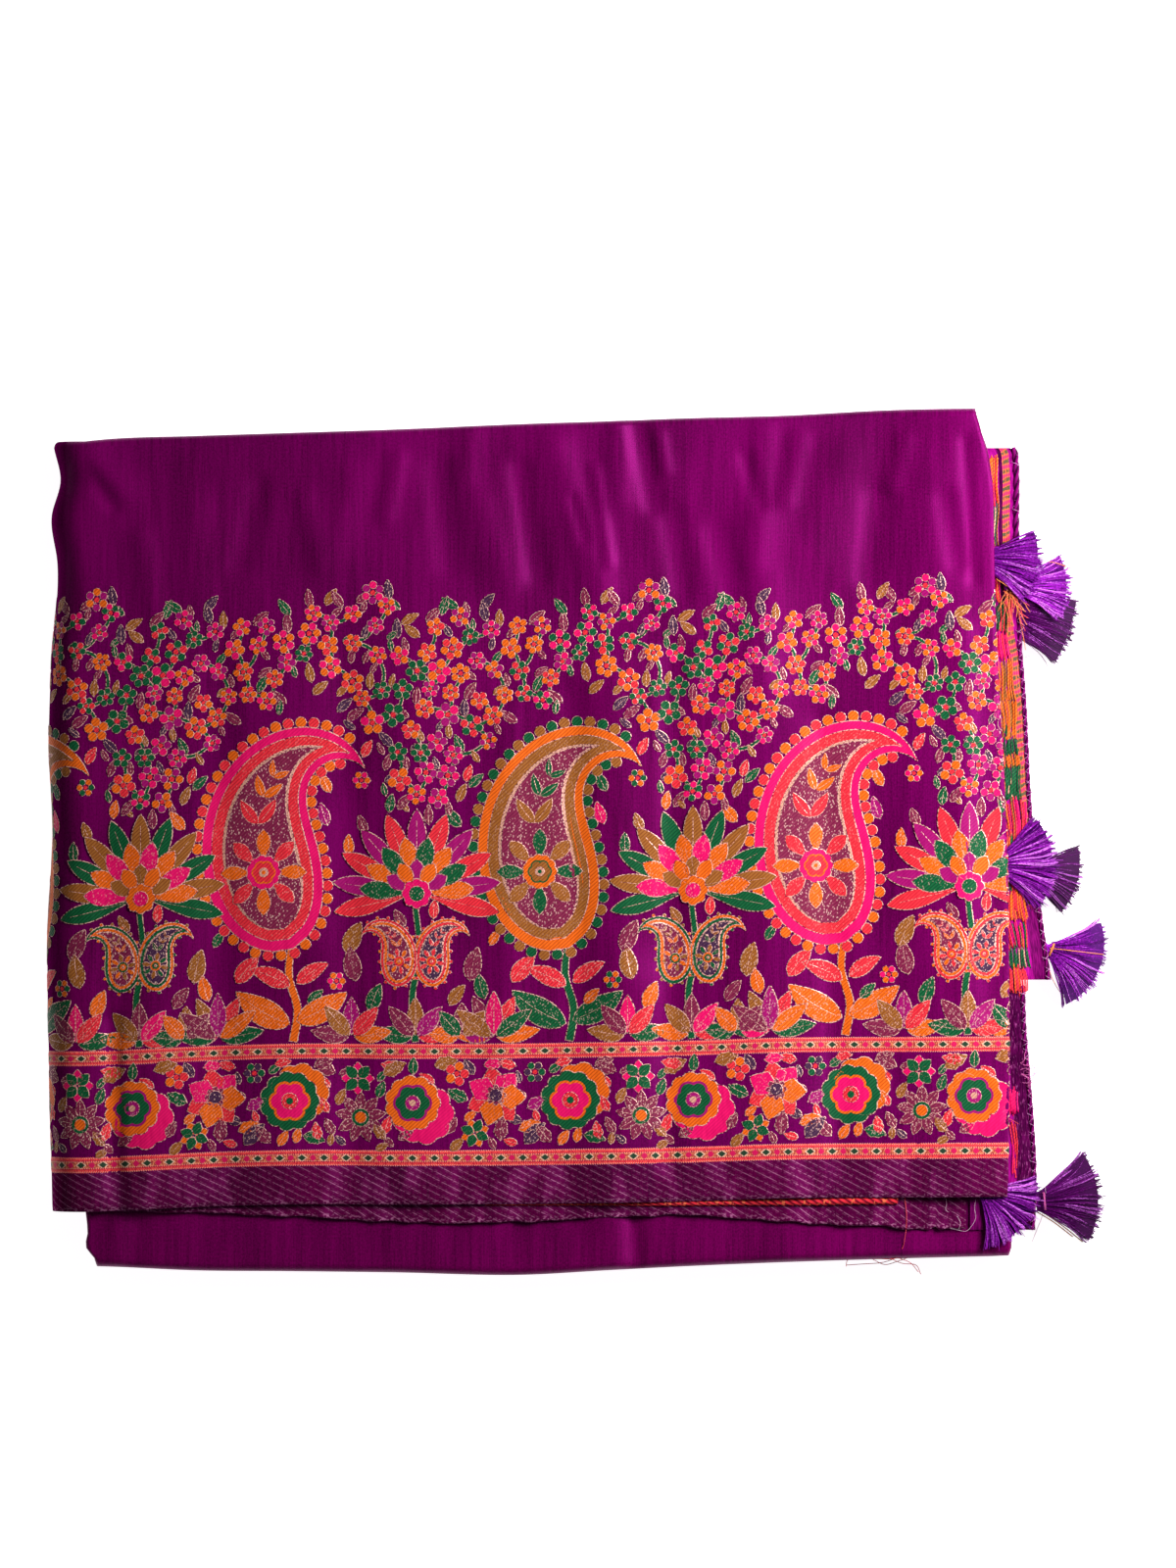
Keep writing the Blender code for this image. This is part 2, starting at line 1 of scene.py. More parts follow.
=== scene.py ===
# %% [markdown]
# # A folded silk saree
#
# One long silk cloth lies folded in a flat bundle. We see its front fold with a deep
# woven border, a plain fold that stands out below it, and, at the right, the wrong side
# of the loose end with its tassels.
#
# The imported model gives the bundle's solids. Every piece below is laid on those solids
# from the same measured lines, so nothing has to be fitted by eye.

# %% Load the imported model
import math

import bpy
import numpy as np
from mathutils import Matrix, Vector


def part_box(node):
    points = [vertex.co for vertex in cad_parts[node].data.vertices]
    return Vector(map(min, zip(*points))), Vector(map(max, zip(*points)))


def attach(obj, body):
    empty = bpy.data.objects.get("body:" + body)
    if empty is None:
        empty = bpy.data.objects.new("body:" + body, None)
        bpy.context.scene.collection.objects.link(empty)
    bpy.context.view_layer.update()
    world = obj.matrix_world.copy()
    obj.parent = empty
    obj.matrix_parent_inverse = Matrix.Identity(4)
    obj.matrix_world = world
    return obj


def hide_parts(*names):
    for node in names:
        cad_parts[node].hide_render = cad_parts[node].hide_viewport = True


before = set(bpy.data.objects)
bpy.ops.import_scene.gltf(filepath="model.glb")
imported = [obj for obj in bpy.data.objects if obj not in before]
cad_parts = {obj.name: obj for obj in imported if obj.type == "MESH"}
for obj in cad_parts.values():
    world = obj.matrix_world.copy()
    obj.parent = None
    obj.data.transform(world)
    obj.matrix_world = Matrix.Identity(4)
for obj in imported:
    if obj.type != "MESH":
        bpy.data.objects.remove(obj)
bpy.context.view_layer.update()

MM = 0.001

# %% [markdown]
# The bundle is described by a few lines read from the cloth: its top fold, its two
# selvedges and its lower fold at stations along X, and its two side edges by their share
# of the way up. A smooth curve goes through each set of points. NumPy works on all the
# points at once, so a curve is a function that takes and returns whole arrays.

# %% Smooth curves through measured points
def ease(t):
    """3t^2 - 2t^3 between 0 and 1: a rise that starts and ends level."""
    t = np.clip(t, 0, 1)
    return t * t * (3 - 2 * t)


def through(knots, values):
    """A cubic between each two knots, with slopes from the neighbours, level beyond the ends."""
    knots, values = np.asarray(knots, float), np.asarray(values, float)
    slopes = np.gradient(values, knots)

    def at(x):
        x = np.clip(x, knots[0], knots[-1])
        i = np.clip(np.searchsorted(knots, x) - 1, 0, len(knots) - 2)
        span = knots[i + 1] - knots[i]
        t = (x - knots[i]) / span
        rise = values[i + 1] - values[i]
        bow = (1 - t) * (slopes[i] * span - rise) - t * (slopes[i + 1] * span - rise)
        return values[i] + t * rise + t * (1 - t) * bow

    return at


def curves(table):
    """A smooth curve for each column after the first, as a function of the first column."""
    return [through(table[:, 0], table[:, k]) for k in range(1, table.shape[1])]


def running_length(line):
    """The distance along a line from its first point to each of its points."""
    return np.concatenate([[0], np.cumsum(np.linalg.norm(np.diff(line, axis=0), axis=1))])


# Millimetres: x, top fold, selvedge, second selvedge, lower fold
STATIONS = np.array([
    (-182, 136.4, -127.6, -126.4, -146.0), (-162, 138.7, -127.1, -126.8, -146.4),
    (-132, 139.8, -125.7, -127.6, -147.7), (-98, 140.9, -124.7, -129.5, -148.0),
    (-64, 142.0, -124.8, -131.1, -148.4), (-17, 144.0, -124.6, -130.6, -149.2),
    (8, 144.8, -124.2, -129.8, -147.8), (37, 145.9, -123.7, -129.1, -146.3),
    (71, 146.8, -122.6, -130.8, -144.9), (105, 148.6, -122.4, -132.3, -143.8),
    (160, 149.3, -122.0, -132.5, -142.4)])
# Share of the way up, then west and east edge of the front fold and of the lower fold
SIDES = np.array([
    (0.00, -181.3, 147.7, -167.6, 150.2), (0.012, -181.4, 147.8, -170.2, 150.1),
    (0.03, -181.5, 147.9, -169.3, 150.0), (0.08, -181.8, 148.1, -170.4, 149.8),
    (0.17, -182.4, 148.3, -169.4, 149.2), (0.36, -183.0, 148.0, -168.8, 148.6),
    (0.50, -181.2, 147.0, -168.6, 148.0), (0.62, -182.6, 145.3, -168.6, 147.0),
    (0.72, -181.8, 143.9, -168.4, 145.8), (0.85, -179.7, 143.0, -167.6, 144.8),
    (0.91, -181.7, 142.6, -167.4, 143.6), (0.96, -178.6, 140.5, -167.2, 141.0),
    (1.00, -180.8, 137.2, -167.0, 136.8)])
top_fold_y, selvedge_y, second_selvedge_y, lower_fold_y = curves(STATIONS)
west_x, east_x, lower_west_x, lower_east_x = curves(SIDES)
print("width of the front fold at its middle:", round(float(east_x(0.5) - west_x(0.5)), 1), "mm")

# %% [markdown]
# The solids were shifted so that the origin lies under the bundle's middle. One solid
# whose ends are known, the coral roll, tells how far.

# %% Where the drawing's zero lies in the model
ROLL_WEST, ROLL_EAST, ROLL_GAP = -32.0, 110.0, 0.35
roll_low, roll_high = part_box("coral_roll")
SHIFT = np.array([roll_low.x / MM - ROLL_WEST, roll_high.y / MM - (selvedge_y(ROLL_EAST) - ROLL_GAP), 0.0])
print("shift in mm:", SHIFT.round(3))

# %% [markdown]
# ## The form of the bundle
#
# Sixty-four layers of silk make a low dome with soft ridges where the layers below have
# crept. A ridge is a line with a bell-shaped cross-section. The broad ones are those of
# the solids; the narrow ones after them are the small creases of the top layer. All
# lengths from here on are in millimetres, and the mesh builder turns them into metres.

# %% Heights over the whole bundle
SEAM, LOWER_WALL, LOOSE_WALL, FRONT_WALL = 0.35, 1.4, 1.2, 1.2
TUCK_Y = -104
# How much narrower the creases are than in their table, their steepness and the height they stay within
CREASE_WIDTH, CREASE_GAIN, CREASE_LIMIT = 0.76, 1.9, 1.1
# x0, y0, x1, y1, half-width, height
RIDGES = np.array([
    (-8, 135, 7, 88, 7, 1.6), (14, 142, 14, 118, 5, 1.0), (-37, 142, -39, 125, 5, 0.8),
    (-34, 116, -25, 88, 6, 1.0), (-78, 125, -85, 101, 7, 0.8), (-132, 115, -132, 88, 6, 0.7),
    (64, 111, 62, 54, 10, 1.5), (91, 131, 81, 101, 9, 0.8), (118, 128, 122, 81, 10, 0.9),
    (-168, 133, -158, 121, 6, 1.0), (-169, -14, -169, -129, 6, 1.1), (-145, 0, -148, -129, 12, 1.4),
    (-103, 71, -101, -129, 14, 0.8), (-57, 74, -56, -129, 14, 0.9), (10, 54, 16, -47, 10, 1.2),
    (15, -48, 13, -129, 12, 1.8), (61, 54, 70, -129, 16, 1.6), (115, 54, 118, -129, 14, 0.9)])
CREASES = np.array([
    (20, 143, 26, 116, 4, -1.0), (32, 112, 36, 88, 5, -0.8), (48, 106, 54, 84, 6, -0.7),
    (103, 118, 100, 92, 6, -0.8), (-170, 128, -160, 116, 3, -0.8), (-48, 128, -44, 96, 6, -0.7),
    (-20, 128, -14, 92, 4.5, -0.9), (-160, -62, -159, -129, 3.2, -0.9), (33, 66, 31, -110, 5, -0.7),
    (-2, 50, 0, -60, 6, -0.5), (84, 40, 90, -110, 6, -0.5), (-124, 60, -122, -110, 7, -0.5),
    (-80, 62, -78, -118, 7, -0.5), (-110, 122, -116, 96, 5, -0.5), (6, 128, 11, 96, 2.5, 0.5),
    (76, 138, 72, 118, 4.5, 0.5), (132, 70, 134, -60, 6, 0.5), (-24, 40, -26, -90, 7, 0.4),
    (-62, 132, -66, 112, 4, 0.5), (-94, 118, -90, 96, 5, 0.4), (28, 140, 30, 128, 3, 0.5),
    (112, 138, 108, 122, 4, 0.5), (-2, 118, 2, 104, 2.2, -0.4), (58, 132, 62, 116, 3.5, -0.5),
    (126, 118, 130, 96, 4.5, -0.6), (-150, 104, -146, 80, 5, 0.5), (133, 138, 136, 90, 2.6, -0.5),
    (64, 140, 60, 96, 6, 0.45)])


def ridges(lines, x, y):
    """Sum over the lines of height * exp(-(distance to the line / half-width)^2)."""
    total = np.zeros(np.broadcast(x, y).shape)
    for x0, y0, x1, y1, spread, height in lines:
        dx, dy = x1 - x0, y1 - y0
        share = np.clip(((x - x0) * dx + (y - y0) * dy) / (dx**2 + dy**2), 0, 1)
        apart = (x - x0 - share * dx) ** 2 + (y - y0 - share * dy) ** 2
        total += height * np.exp(-apart / spread**2)
    return total


def stack_top(x, y):
    """16.8 + 1.3 * (1 - |x/165|^4) * (1 - |y/145|^4): a dome that is nearly flat in the middle."""
    across, along = (1 - np.clip(np.abs(z / half), 0, 1) ** 4 for z, half in ((x, 165), (y, 145)))
    return 16.8 + 1.3 * across * along


def front_lift(x, y):
    """The larger of two rises: 3.4 over the loose end at the east, 1.6 over the second selvedge."""
    return np.maximum(3.4 * ease((x - 134.6) / 34 + 1), 1.6 * ease((TUCK_Y - y) / 34 + 1))


def level_two(x, y):
    """Underside of whatever lies on the lower fold."""
    return stack_top(x, y) + SEAM + LOWER_WALL + SEAM


def front_top(x, y):
    """The face of the front fold: level two, lift, ridges, wall, and creases that fade at the side edges."""
    creases = ridges(CREASES * (1, 1, 1, 1, CREASE_WIDTH, 1), x, y)
    fine = CREASE_LIMIT * np.tanh(CREASE_GAIN * creases) * ease((x + 176) / 12) * ease((146 - x) / 8)
    return level_two(x, y) + front_lift(x, y) + ridges(RIDGES, x, y) + fine + FRONT_WALL


sample_x, sample_y = np.meshgrid(np.linspace(-160, 140, 60), np.linspace(-110, 130, 50))
sample = front_top(sample_x, sample_y)
print("front fold stands", sample.min().round(1), "to", sample.max().round(1), "mm high")

# %% [markdown]
# ## From cloth to space
#
# The front fold, its round turn at the west side and the underside are one continuous
# cloth, and the woven pattern runs on round the turn. So the pattern is drawn on flat
# cloth, where u runs along the length and v across the width from the selvedge, and one
# function carries any point of the flat cloth to its place. A small lift along the outward
# direction is how a raised thread is later placed on it.

# %% One function from flat cloth to the folded bundle
WEST_TURN, TURN_RADIUS, EAST_RADIUS, TOP_RADIUS, UNDER_Z = 11.0, 11.6, 0.6, 2.3, 0.62
TURN_LENGTH = math.pi * TURN_RADIUS
# x of the lines along which a distance from the selvedge becomes a share of the way up
WEST_LINE, EAST_LINE = -171.0, 142.0
# By how much the top fold's radius is smaller at the underside, and the smallest radius of a bend
RADIUS_LOSS, SHARPEST_BEND = 1.4, 0.05


def cloth_height(x):
    """Distance from the selvedge to where the top fold begins to turn."""
    return top_fold_y(x) - TOP_RADIUS - selvedge_y(x)


def turn_start(v):
    """x where the cloth leaves the flat and starts down the west turn, for a distance v from the selvedge."""
    return west_x(v / cloth_height(WEST_LINE)) + WEST_TURN


def east_edge(v):
    """x of the front fold's east edge at a distance v from the selvedge."""
    return east_x(v / cloth_height(EAST_LINE))


def cloth_point(u, v, lift=0.0, over=0.0):
    """Flat cloth (u, v) to space.

    u is x on the front. West of the turn's start, the angle is (start - u) / radius, and the point
    goes round a half ellipse as high as the bundle, then east along the underside. Past the east
    edge it goes round a small half circle and back below. lift is along the outward direction.
    over is the angle round the top fold: y gains r sin(over) and lift loses r (1 - cos(over)).
    """
    u, v, lift, over = np.broadcast_arrays(u, v, lift, over)
    start, east = turn_start(v), east_edge(v) - EAST_RADIUS
    gone = start - u
    angle = np.clip(gone / TURN_RADIUS, 0, math.pi)
    past = np.clip((u - east) / EAST_RADIUS, 0, math.pi)
    x = np.where(gone > 0, start + np.maximum(gone - TURN_LENGTH, 0), np.minimum(u, east))
    x = x - np.maximum(u - east - math.pi * EAST_RADIUS, 0)
    y = selvedge_y(x) + v
    height = front_top(np.where(gone > 0, start, x), y)
    radius = TOP_RADIUS - RADIUS_LOSS * ease(angle / math.pi)
    lift = lift - radius * (1 - np.cos(over))
    y = y + radius * np.sin(over) + (TOP_RADIUS - radius) * (over > 0) * np.sin(over)
    bend = np.maximum(EAST_RADIUS + lift, SHARPEST_BEND)
    x = x - WEST_TURN * np.sin(angle) - lift * np.sin(angle) + bend * np.sin(past)
    z = UNDER_Z + (height - UNDER_Z) / 2 * (1 + np.cos(angle)) + lift * np.cos(angle)
    z = z - bend * (1 - np.cos(past))
    return np.stack([x, y, z], axis=-1)


print("selvedge corner of the front:", cloth_point(np.array([147.0]), np.array([0.0]))[0].round(1))
# %% [markdown]
# ## Putting arrays into meshes
#
# Every piece is a grid of points. The helper takes rows by columns of points, joins each
# four neighbours with a face, and writes the arrays straight into the mesh. It keeps the
# flat cloth's u and v as the UV map, so a material can follow the threads round a fold.

# %% Mesh builders
def grid_faces(rows, columns, around=False):
    """Four corner numbers for each cell. With around, the last column joins the first."""
    index = np.arange(rows * columns).reshape(rows, columns)
    if around:
        index = np.concatenate([index, index[:, :1]], axis=1)
    return np.stack([index[:-1, :-1], index[:-1, 1:], index[1:, 1:], index[1:, :-1]], axis=-1).reshape(-1, 4)


def new_piece(name, points, faces, uv, materials, picks=None, marks=None):
    """An object from arrays: points in mm, quads, a UV for each point, a material number for each face."""
    mesh = bpy.data.meshes.new(name)
    mesh.vertices.add(len(points))
    mesh.vertices.foreach_set("co", ((points + SHIFT) * MM).astype(np.float32).ravel())
    mesh.loops.add(faces.size)
    mesh.loops.foreach_set("vertex_index", faces.astype(np.int32).ravel())
    mesh.polygons.add(len(faces))
    mesh.polygons.foreach_set("loop_start", np.arange(0, faces.size, 4, dtype=np.int32))
    layer = mesh.uv_layers.new(name="cloth")
    layer.data.foreach_set("uv", (uv[faces.ravel()] * MM).astype(np.float32).ravel())
    for material in materials:
        mesh.materials.append(material)
    if picks is not None:
        mesh.polygons.foreach_set("material_index", picks.astype(np.int32))
    for label, values in (marks or {}).items():
        mesh.attributes.new(label, "FLOAT", "POINT").data.foreach_set("value", values.astype(np.float32))
    mesh.update(calc_edges=True)
    mesh.shade_smooth()
    piece = bpy.data.objects.new(name, mesh)
    bpy.context.scene.collection.objects.link(piece)
    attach(piece, "root")
    print(f"{name}: {2 * len(faces)} triangles")
    return piece


def grid_piece(name, grid, uv, material, slot):
    """An object from one grid of points."""
    faces = grid_faces(*grid.shape[:2])
    return new_piece(name, grid.reshape(-1, 3), faces, uv.reshape(-1, 2), [material])


def joined(grids, around=False):
    """Several grids of points as one list of points and one of faces."""
    points, faces, first = [], [], 0
    for grid in grids:
        rows, columns = grid.shape[:2]
        points.append(grid.reshape(-1, grid.shape[-1]))
        faces.append(grid_faces(rows, columns, around) + first)
        first += rows * columns
    return np.concatenate(points), np.concatenate(faces)


def per_face(values, grids):
    """Each grid's value, once for each of its faces."""
    return np.repeat(values, [(grid.shape[0] - 1) * (grid.shape[1] - 1) for grid in grids])


# %% [markdown]
# ## Finishes
#
# Silk thread is smooth and lies in one direction, so it has a broad soft gleam and fine
# streaks along the thread. The material reads the cloth's own u and v. A small helper
# joins nodes by name, to keep each recipe readable.

# %% A small helper for node recipes
class Recipe:
    """A material being built. Each method adds one node and returns its output."""

    def __init__(self, name):
        self.material = bpy.data.materials.new(name)
        self.material.use_nodes = True
        self.tree = self.material.node_tree
        self.shader = self.tree.nodes["Principled BSDF"]

    def node(self, kind, output=0, **settings):
        """One node: settings that are node properties are set, the others feed the inputs of that name."""
        node = self.tree.nodes.new("ShaderNode" + kind)
        for key, value in settings.items():
            if hasattr(node, key):
                setattr(node, key, value)
                continue
            socket = next(s for s in node.inputs if s.enabled and s.name == key.replace("_", " "))
            self.feed(socket, value)
        return node.outputs[output]

    def feed(self, socket, value):
        if isinstance(value, bpy.types.NodeSocket):
            self.tree.links.new(value, socket)
        elif isinstance(value, tuple) and len(value) == 3 and len(socket.default_value) == 4:
            socket.default_value = (*value, 1)
        else:
            socket.default_value = value

    def math(self, operation, a, b=0.0, c=0.0):
        node = self.tree.nodes.new("ShaderNodeMath")
        node.operation = operation
        for socket, value in zip(node.inputs, (a, b, c)):
            self.feed(socket, value)
        return node.outputs[0]

    def times(self, a, b):
        return self.math("MULTIPLY", a, b)

    def plus(self, a, b):
        return self.math("ADD", a, b)

    def zigzag(self, value, period):
        """0.5 at whole periods and 0 half-way between them."""
        part = self.math("FRACT", self.times(value, 1 / period))
        return self.math("ABSOLUTE", self.math("SUBTRACT", part, 0.5))

    def mix(self, share, one, two):
        """A colour between one and two."""
        node = self.tree.nodes.new("ShaderNodeMix")
        node.data_type = "RGBA"
        for socket, value in zip((node.inputs[0], node.inputs[6], node.inputs[7]), (share, one, two)):
            self.feed(socket, value)
        return node.outputs[2]

    def cloth(self):
        """The cloth's own map, then its u and its v."""
        where = self.node("UVMap", uv_map="cloth")
        axes = self.tree.nodes.new("ShaderNodeSeparateXYZ")
        self.feed(axes.inputs[0], where)
        return where, axes.outputs[0], axes.outputs[1]

    def mark(self, name):
        """A number that the mesh holds for each point."""
        return self.node("Attribute", 2, attribute_name=name)

    def stretched_noise(self, where, along, across, detail=3.0):
        """Noise drawn out along one direction: its size is 1/along by 1/across in the map's units."""
        moved = self.node("Mapping", Vector=where, Scale=(along, across, 1.0))
        return self.node("TexNoise", Vector=moved, Scale=1.0, Detail=detail)

    def band(self, value, low, high, soft):
        """1 where value lies between low and high, with soft edges."""
        rise = self.math("MULTIPLY_ADD", value, 1 / soft, -low / soft + 0.5)
        fall = self.math("MULTIPLY_ADD", value, -1 / soft, high / soft + 0.5)
        node = self.tree.nodes.new("ShaderNodeClamp")
        self.feed(node.inputs[0], self.math("MINIMUM", rise, fall))
        return node.outputs[0]

    def above(self, value, low, soft):
        """1 where value is higher than low, with a soft edge."""
        return self.band(value, low, 9.0, soft)

    def below(self, value, high, soft):
        """1 where value is lower than high, with a soft edge."""
        return self.band(value, -1.0, high, soft)

    def finish(self, **sockets):
        for key, value in sockets.items():
            self.feed(self.shader.inputs[key.replace("_", " ")], value)
        return self.material

    def bump(self, height, distance, strength=1.0):
        return self.node("Bump", Height=height, Distance=distance, Strength=strength)


def srgb(red, green, blue):
    """A colour as seen on a screen, 0 to 255, as the linear light that the renderer wants."""
    seen = np.array([red, green, blue]) / 255
    linear = np.where(seen <= 0.04045, seen / 12.92, ((seen + 0.055) / 1.055) ** 2.4)
    return tuple(float(channel) for channel in linear)
# %% [markdown]
# ## The woven motifs
#
# In this kind of saree the border's flowers are woven with extra weft threads: patches
# of coloured silk, each rimmed by a fine metal thread. So a motif here is a set of thin
# patches with a rim. Two kinds of patch make them all. A blade follows a spine with a
# changing width and gives leaves, stems and paisleys. A plate is a disc whose radius
# changes with the angle and gives petals and rosettes. All motifs are drawn on the flat
# cloth, in millimetres, and are ordinary ones of this craft.

# %% Blades and plates
DYES = ("pink", "orange", "coral", "green", "slate", "olive", "mauve", "magenta", "cream")
# The widest cell of a patch's grid
CELL = 2.6


def respaced(line, step, closed):
    """Points at even steps along a line, by its running length."""
    line = np.concatenate([line, line[:1]]) if closed else line
    run = running_length(line)
    count = max(6, 2 * round(run[-1] / step / 2))
    at = np.linspace(0, run[-1], count + 1)
    even = np.stack([np.interp(at, run, line[:, k]) for k in (0, 1)], axis=1)
    return even[:-1] if closed else even


def outward(line, closed=True):
    """Unit vectors to the right of a line. For a closed line they are turned to point out of it."""
    ahead = np.roll(line, -1, axis=0) - np.roll(line, 1, axis=0) if closed else np.gradient(line, axis=0)
    right = np.stack([ahead[:, 1], -ahead[:, 0]], axis=1) / np.maximum(np.hypot(*ahead.T), 1e-6)[:, None]
    area = np.sum(line[:, 0] * np.roll(line[:, 1], -1) - np.roll(line[:, 0], -1) * line[:, 1])
    return -right if closed and area < 0 else right


def patch(dye, grid, rim, level, speckle, ribs=()):
    """A patch of one dye: its points, its rim, how high it lies, its share of metal specks, its ribs."""
    return {"dye": dye, "grid": grid, "rim": rim, "level": level, "speckle": speckle, "ribs": ribs}


def blade(dye, spine, widths, level=0, speckle=0.0, rib=False):
    """Point (s, t) = spine(s) + t * width(s) * sideways(s), with t from -1 to 1."""
    across = np.linspace(-1, 1, max(2, math.ceil(2 * widths.max() / CELL) + 1))
    grid = spine[:, None] - outward(spine, False)[:, None] * (widths[:, None] * across)[..., None]
    rim = np.concatenate([grid[:, -1], grid[::-1, 0]])
    inner = slice(len(spine) // 8, -max(1, len(spine) // 6))
    return patch(dye, grid, rim, level, speckle, [spine[inner]] if rib else [])


def plate(dye, radius, level=0, speckle=0.0, lobes=0, depth=0.0, rimmed=True):
    """Point (s, angle) = s * r(angle), with r = radius * (1 - depth + depth * |cos(lobes * angle / 2)|^0.6)."""
    angle = np.linspace(0, 2 * math.pi, max(11, 1 + round(2.4 * radius + 7) + 4 * lobes))
    edge = radius * (1 - depth + depth * np.abs(np.cos(lobes * angle / 2)) ** 0.6)
    rings = np.linspace(0.03, 1, max(2, math.ceil(radius / CELL) + 1))
    grid = rings[:, None, None] * edge[None, :, None] * np.stack([np.cos(angle), np.sin(angle)], axis=1)
    return patch(dye, grid, grid[-1, :-1] if rimmed else None, level, speckle)


def moved(patches, at=(0.0, 0.0), turn=0.0, mirror=False, level=0):
    """Copies of patches, mirrored, turned by an angle in degrees, shifted, and raised by some levels."""
    c, s = math.cos(math.radians(turn)), math.sin(math.radians(turn))
    place = np.array([(c, s), (-s, c)])
    if mirror:
        place = np.diag([-1.0, 1.0]) @ place
    shift = np.asarray(at, float)
    return [{**one, "grid": one["grid"] @ place + shift, "level": one["level"] + level,
             "rim": None if one["rim"] is None else one["rim"] @ place + shift,
             "ribs": [rib @ place + shift for rib in one["ribs"]]} for one in patches]


def bent_line(length, start, turn, power=1.0, steps=None):
    """A line from the origin whose heading, from straight up, is start + turn * s^power degrees."""
    s = np.linspace(0, 1, steps or max(7, round(length / 1.3)))
    heading = np.radians(start + turn * s**power)
    step = np.stack([np.sin(heading), np.cos(heading)], axis=1) * length / (len(s) - 1)
    return np.concatenate([[(0.0, 0.0)], np.cumsum((step[1:] + step[:-1]) / 2, axis=0)])


def leaf(dye, length, width, bend=0.0, teeth=0, speckle=0.0, rib=True, level=0, peak=0.8):
    """A blade with half-width (width/2) * sin(pi s^peak)^0.8, and small teeth if asked.

    A peak over 1 moves the widest place outwards.
    """
    spine = bent_line(length, -bend / 2, bend)
    s = np.linspace(0, 1, len(spine))
    toothed = 1 + 0.13 * np.cos(2 * math.pi * teeth * s) * (teeth > 0)
    widths = width / 2 * np.sin(math.pi * s**peak) ** 0.8 * toothed
    return blade(dye, spine, np.maximum(widths, 0.06), level, speckle, rib)


def stem(dye, knots, width, tip):
    """A blade through the knots, below the other patches, that changes evenly in width up to its tip."""
    knots = np.array(knots, float)
    long = np.hypot(*np.diff(knots, axis=0).T).sum()
    t = np.linspace(0, len(knots) - 1, max(8, round(long / 1.6)))
    spine = np.stack([through(np.arange(len(knots)), knots[:, i])(t) for i in (0, 1)], axis=1)
    return blade(dye, spine, np.linspace(width, tip, len(t)) / 2, level=-1)


# %% [markdown]
# Small flowers repeat many times, so each is a function that returns its patches. The
# blossoms of the upper sprays have round petals of two dyes in turn.

# %% Flowers
def blossom(radius, one, two, petals=6):
    """Round petals that touch, at 0.58 of the radius, in two dyes in turn, round a small coral heart."""
    made = []
    for k in range(petals):
        angle = math.radians(360 / petals * k)
        far = np.array([math.cos(angle), math.sin(angle)]) * 0.58 * radius
        made += moved([plate(one if k % 2 else two, (0.30 if petals == 6 else 0.35) * radius)], at=far)
    return made + [plate("coral", 0.2 * radius, level=1, rimmed=False)]


def rosette(outer, ring, lobes, heart, eye, radius):
    """Plates on plates: a scalloped disc, a narrow ring, lobed petals, a speckled heart and its eye."""
    return [plate(outer, radius, 1, lobes=11, depth=0.13),
            plate(ring, 0.70 * radius, 2, lobes=6, depth=0.16, rimmed=False),
            plate(lobes, 0.62 * radius, 3, lobes=6, depth=0.24, rimmed=False),
            plate(heart, 0.27 * radius, 4, speckle=0.5), plate(eye, 0.12 * radius, 5, rimmed=False)]


def petal_ring(count, length, width, dyes, at, spread=360.0, start=0.0, level=0, rib=False, **form):
    """Leaves in a ring or a fan, each standing off the middle by at. Every second one lies a level higher."""
    made = []
    for k in range(count):
        turn = start + spread * k / (count if spread == 360.0 else count - 1)
        away = np.array([-math.sin(math.radians(turn)), math.cos(math.radians(turn))]) * at
        petal = leaf(dyes[k % len(dyes)], length, width, rib=rib, level=level + k % 2, **form)
        made += moved([petal], at=away, turn=turn)
    return made


def palmette(size, dyes, heart):
    """Three fans of petals, each shorter than the one behind, over a scalloped heart: an old lotus form."""
    made = []
    for count, long, wide, at, spread, level, fan_dyes, form in (
            (11, 1.0, 0.25, 0.12, 206, 0, dyes[:2], {"rib": True}),
            (8, 0.66, 0.24, 0.10, 170, 2, dyes[2:], {"speckle": 0.35}),
            (5, 0.40, 0.20, 0.06, 120, 4, dyes[1:3], {})):
        made += petal_ring(count, long * size, wide * size, fan_dyes, at * size, spread, -spread / 2, level,
                           peak=1.5, **form)
    made.append(plate(heart, 0.20 * size, 6, lobes=8, depth=0.2))
    return made + [plate(dyes[3], 0.10 * size, 7, speckle=0.5)]


PAISLEY_STEPS = 54
# The steps of a paisley's spine at which its flower and its pairs of petals stand
FLOWER_STEP, PETAL_STEPS = 15, ((24, 0.13), (29, 0.10), (33, 0.075))


def teardrop(spine, height, margin):
    """The part of a paisley that lies a margin inside its edge.

    Its half-width is (0.25 height - margin) * t^0.55 (1 - t)^1.25 / 0.33.
    """
    length = 1.25 * height
    low, cut = round(margin / length * PAISLEY_STEPS), round(2.4 * margin / length * PAISLEY_STEPS)
    t = np.linspace(0, 1, PAISLEY_STEPS - cut - low)
    half_width = (0.25 * height - margin) * t**0.55 * (1 - t) ** 1.25 / 0.33
    return spine[low:PAISLEY_STEPS - cut], np.maximum(half_width, 0.12)


